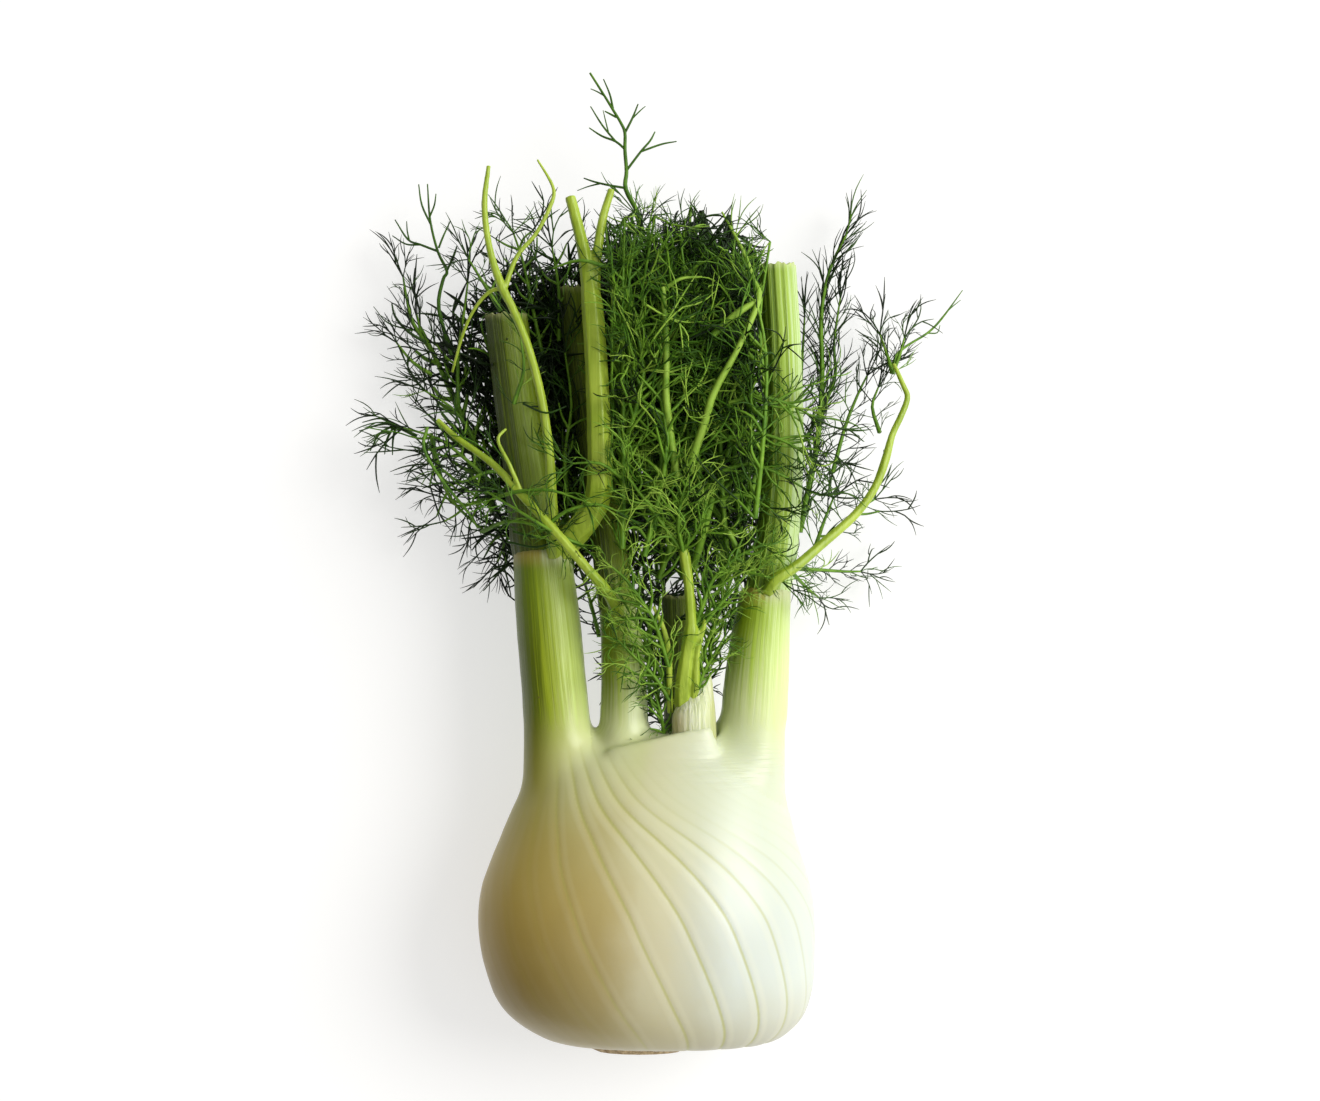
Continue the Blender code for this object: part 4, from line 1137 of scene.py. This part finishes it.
            (0.9, [(19.2, 169.9, 47, 1.0), (26, 176, 48, 1.1), (32, 180, 47, 0.8)]),
            (0.85, [(24, 112, 44, 0.8), (27, 104, 44, 0.7), (21, 96, 42, 0.6)]),
        ]),
    "over_stalk_leaf": ("over_stalk_frond", [
        dict(spine=[(24, 150, 44), (32, 152, 45), (41, 150, 44), (49, 146, 43)],
         reach=9, spray=15, every=2.8, depth=0.4, shade=0.26, kinds=curly_sprays),
        dict(spine=[(24, 140, 42), (33, 141, 43), (42, 138, 43), (49, 133, 42)],
         reach=9, spray=15, every=2.8, depth=0.4, shade=0.2, kinds=curly_sprays),
        dict(spine=[(22, 130, 42), (30, 132, 44), (39, 129, 43), (46, 125, 42)],
         reach=7, spray=14, every=3.2, depth=0.4, shade=0.2, kinds=curly_sprays),
        dict(spine=[(20, 121, 40), (28, 123, 43), (36, 119, 43)],
         reach=6, spray=13, every=3.6, depth=0.3, shade=0.18, kinds=curly_sprays),
        dict(spine=[(20, 111, 38), (27, 112, 42), (34, 108, 42)],
         reach=5, spray=12, every=4.2, depth=0.3, shade=0.16, kinds=curly_sprays),
    ], []),
    "heart_left_leaf": ("heart_left_frond", [
        dict(spine=[(6.2, 72, 44), (4.7, 77, 45), (2, 85.3, 46.5), (-1.7, 91.3, 47.5),
                   (-6.3, 97.7, 48), (-10.5, 101.4, 48)], reach=8, spray=10,
         every=2.8, wild=0.3, shade=0.66, stem=0.8, kinds=curly_sprays),
        dict(spine=[(6.4, 62, 42), (2, 69, 44), (-4, 75, 45), (-9, 80, 45)], reach=8,
         spray=10, every=2.8, wild=0.45, shade=0.55, kinds=curly_sprays),
        dict(spine=[(5.5, 66, 40), (1, 76, 42), (-4, 86, 43), (-9, 94, 43)], reach=8,
         spray=11, every=3, wild=0.45, shade=0.5, kinds=curly_sprays),
        dict(spine=[(5, 50, 36), (4, 57, 39), (2, 64, 41)], reach=5,
         spray=8, every=2, wild=0.5, shade=0.36, kinds=curly_sprays),
        # Near-black broad threads low under the heart: painted shade between the leaves.
        dict(spine=[(4, 54, 22), (2, 70, 24), (0, 84, 24), (-3, 100, 22)], reach=8,
         spray=13, every=1.8, depth=0.8, wild=0.45, shade=0.14, kinds=broad_sprays),
        dict(spine=[(1, 56, 14), (0, 70, 14), (0, 86, 14)], reach=6,
         spray=12, every=2.2, depth=0.8, wild=0.45, shade=0.12, kinds=broad_sprays),
        dict(spine=[(-15, 80, 12), (-18, 92, 14), (-22, 104, 14)], reach=6,
         spray=12, every=3.4, depth=0.6, wild=0.45, shade=0.14, kinds=broad_sprays),
    ], []),
    "heart_right_leaf": ("heart_right_frond", [
        dict(spine=[(14.2, 84, 44.5), (18.4, 96.4, 46), (22, 100.6, 46.5), (26.8, 104.8, 46.5),
                   (34, 108, 45.5)], reach=7, spray=10, every=2.8, wild=0.3,
         shade=0.62, stem=0.8, kinds=curly_sprays),
        dict(spine=[(14.4, 82, 44), (21, 90, 45), (28, 98, 45)], reach=6, spray=10,
         every=2.8, wild=0.35, shade=0.7, kinds=curly_sprays),
        dict(spine=[(14, 63, 42), (16.5, 70, 42), (20, 76, 41), (23, 81, 40)], reach=6, spray=9,
         every=2.4, wild=0.4, shade=0.6, kinds=curly_sprays),
        dict(spine=[(14.5, 70, 38), (18, 80, 39), (22, 90, 40), (25, 98, 40)], reach=7,
         spray=10, every=2.8, wild=0.4, shade=0.5, kinds=curly_sprays),
        # Near-black broad threads low under the heart: painted shade between the leaves.
        dict(spine=[(16, 60, 18), (19, 76, 20), (21, 90, 22), (22, 104, 22)], reach=7,
         spray=12, every=2.0, depth=0.8, wild=0.45, shade=0.18, kinds=broad_sprays),
    ], []),
    "heart_top_leaf": ("heart_top_frond", [
        dict(spine=[(10.5, 106, 47.5), (9, 113, 50), (9.5, 120, 51), (12, 128, 51)], reach=8,
         spray=10, every=2.6, depth=0.8, wild=0.5, shade=0.9, kinds=curly_sprays),
        dict(spine=[(10.5, 107, 47.5), (15, 113, 50), (17, 121, 51)], reach=7,
         spray=9, every=2.8, depth=0.8, wild=0.5, shade=0.86, kinds=curly_sprays),
        dict(spine=[(9.5, 107, 47), (3, 116, 48), (-3, 124, 48), (-7, 131, 48)], reach=7,
         spray=11, every=3.8, depth=0.6, wild=0.35, shade=0.66),
    ], []),
    "right_tall_leaf": ("right_tall_frond", [
        dict(spine=[(46, 112, 18), (51, 135, 13), (52.9, 151.4, 12), (53.2, 163.3, 12),
                   (52.9, 176.2, 12), (54.0, 186.2, 12), (56.4, 194.4, 12), (60.6, 203, 12)],
         reach=4, spray=16, every=2.2, depth=0.3, wild=0.12,
         spread=(0.12, 0.5), kinds=long_sprays, shade=0.46, stem=1.0),
        dict(spine=[(48, 140, 10), (57, 158, 9), (57, 170, 9), (59, 184, 9)],
         reach=5, spray=15, every=2.6, depth=0.3, wild=0.14, spread=(0.15, 0.6),
         kinds=long_sprays, shade=0.42),
        dict(spine=[(46, 140, 9), (47, 160, 9), (48, 178, 9)],
         reach=4, spray=14, every=2.6, depth=0.3, wild=0.2, kinds=long_sprays,
         shade=0.24),
    ], []),
    "far_right_leaf": ("far_right_frond", [
        dict(spine=[(74, 160, 22), (72.5, 166, 20), (70.6, 172, 17)],
         reach=4, spray=13, every=4, depth=0.3, wild=0.15, spread=(0.2, 0.6),
         kinds=thin_sprays, shade=0.3),
        dict(spine=[(74, 160, 22), (76.5, 166, 19), (78, 171, 17)],
         reach=4, spray=12, every=4, depth=0.3, wild=0.15, spread=(0.2, 0.6),
         kinds=thin_sprays, shade=0.38),
        dict(spine=[(56, 130, 20), (60, 144, 16), (64, 154, 14), (67, 160, 13)],
         reach=6, spray=14, every=6, depth=0.3, wild=0.15, spread=(0.3, 0.8),
         kinds=thin_sprays, shade=0.4),
        dict(spine=[(70, 142, 24), (68, 150, 20), (70, 156, 18)],
         reach=5, spray=12, every=5, depth=0.3, kinds=thin_sprays, shade=0.38),
    ], [
        (0.72, [(73.6, 160.6, 22, 0.5), (75.4, 165.6, 19, 0.46), (79, 168.9, 15, 0.42),
                (85.5, 173, 11, 0.38), (90.1, 177.6, 9, 0.34), (96.6, 186.4, 8, 0.14)]),
        (0.72, [(89.6, 177.2, 9, 0.24), (92.4, 180.4, 8.6, 0.2), (96, 183.4, 8, 0.1)]),
        (0.6, [(85.5, 173, 11, 0.24), (88.6, 173.2, 10, 0.2), (89.6, 175.6, 9, 0.12)]),
    ]),
    "low_right_upper_leaf": ("low_right_upper_frond", [
        dict(spine=[(59, 114.5, 28), (64, 119, 22), (69, 122, 16)], reach=7, spray=14,
         every=4.5, depth=0.3, kinds=thin_sprays, shade=0.5),
        dict(spine=[(50, 107, 32), (53, 115, 26), (56, 122, 22)], reach=7, spray=14,
         every=4.5, depth=0.3, kinds=thin_sprays, shade=0.5),
    ], []),
    "low_right_lower_leaf": ("low_right_lower_frond", [
        dict(spine=[(43, 101, 36), (52, 100.5, 24), (60, 100, 16), (65, 100, 12)], reach=4,
         spray=14, every=4.5, depth=0.3, spread=(0.2, 0.6), kinds=thin_sprays,
         shade=0.5),
        dict(spine=[(42, 101, 36), (47, 96, 26), (52, 92, 18)], reach=4,
         spray=13, every=5, depth=0.3, spread=(0.2, 0.6), kinds=thin_sprays,
         shade=0.5),
        dict(spine=[(30, 100, 41), (34, 99, 41.5), (40, 97, 40)], reach=4, spray=12, every=4,
         depth=0.2, kinds=thin_sprays, shade=0.45),
    ], []),
}
for seed, (name, (node, sprigs, threads)) in enumerate(LEAVES.items(), start=40):
    leaf(name, node, sprigs, seed, threads)


# ---------------------------------------------------------------------------------------------
# The root plate, where the bulb was cut from its root: the frame's own piece stays, as dry cork.
# ---------------------------------------------------------------------------------------------
cork_paint, cork_surface, paint = new_material("cork")
crumbs = paint.noise(700.0, 5.0, 0.65)
feed(cork_surface, paint, colour=crumbs.rise(0.3, 0.7).mix((0.22, 0.14, 0.06), (0.66, 0.50, 0.28)),
     roughness=0.75 + crumbs * 0.2, height=crumbs, depth=0.0006)
root_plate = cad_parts["root_plate"]
root_plate.data.materials.clear()
root_plate.data.materials.append(cork_paint)
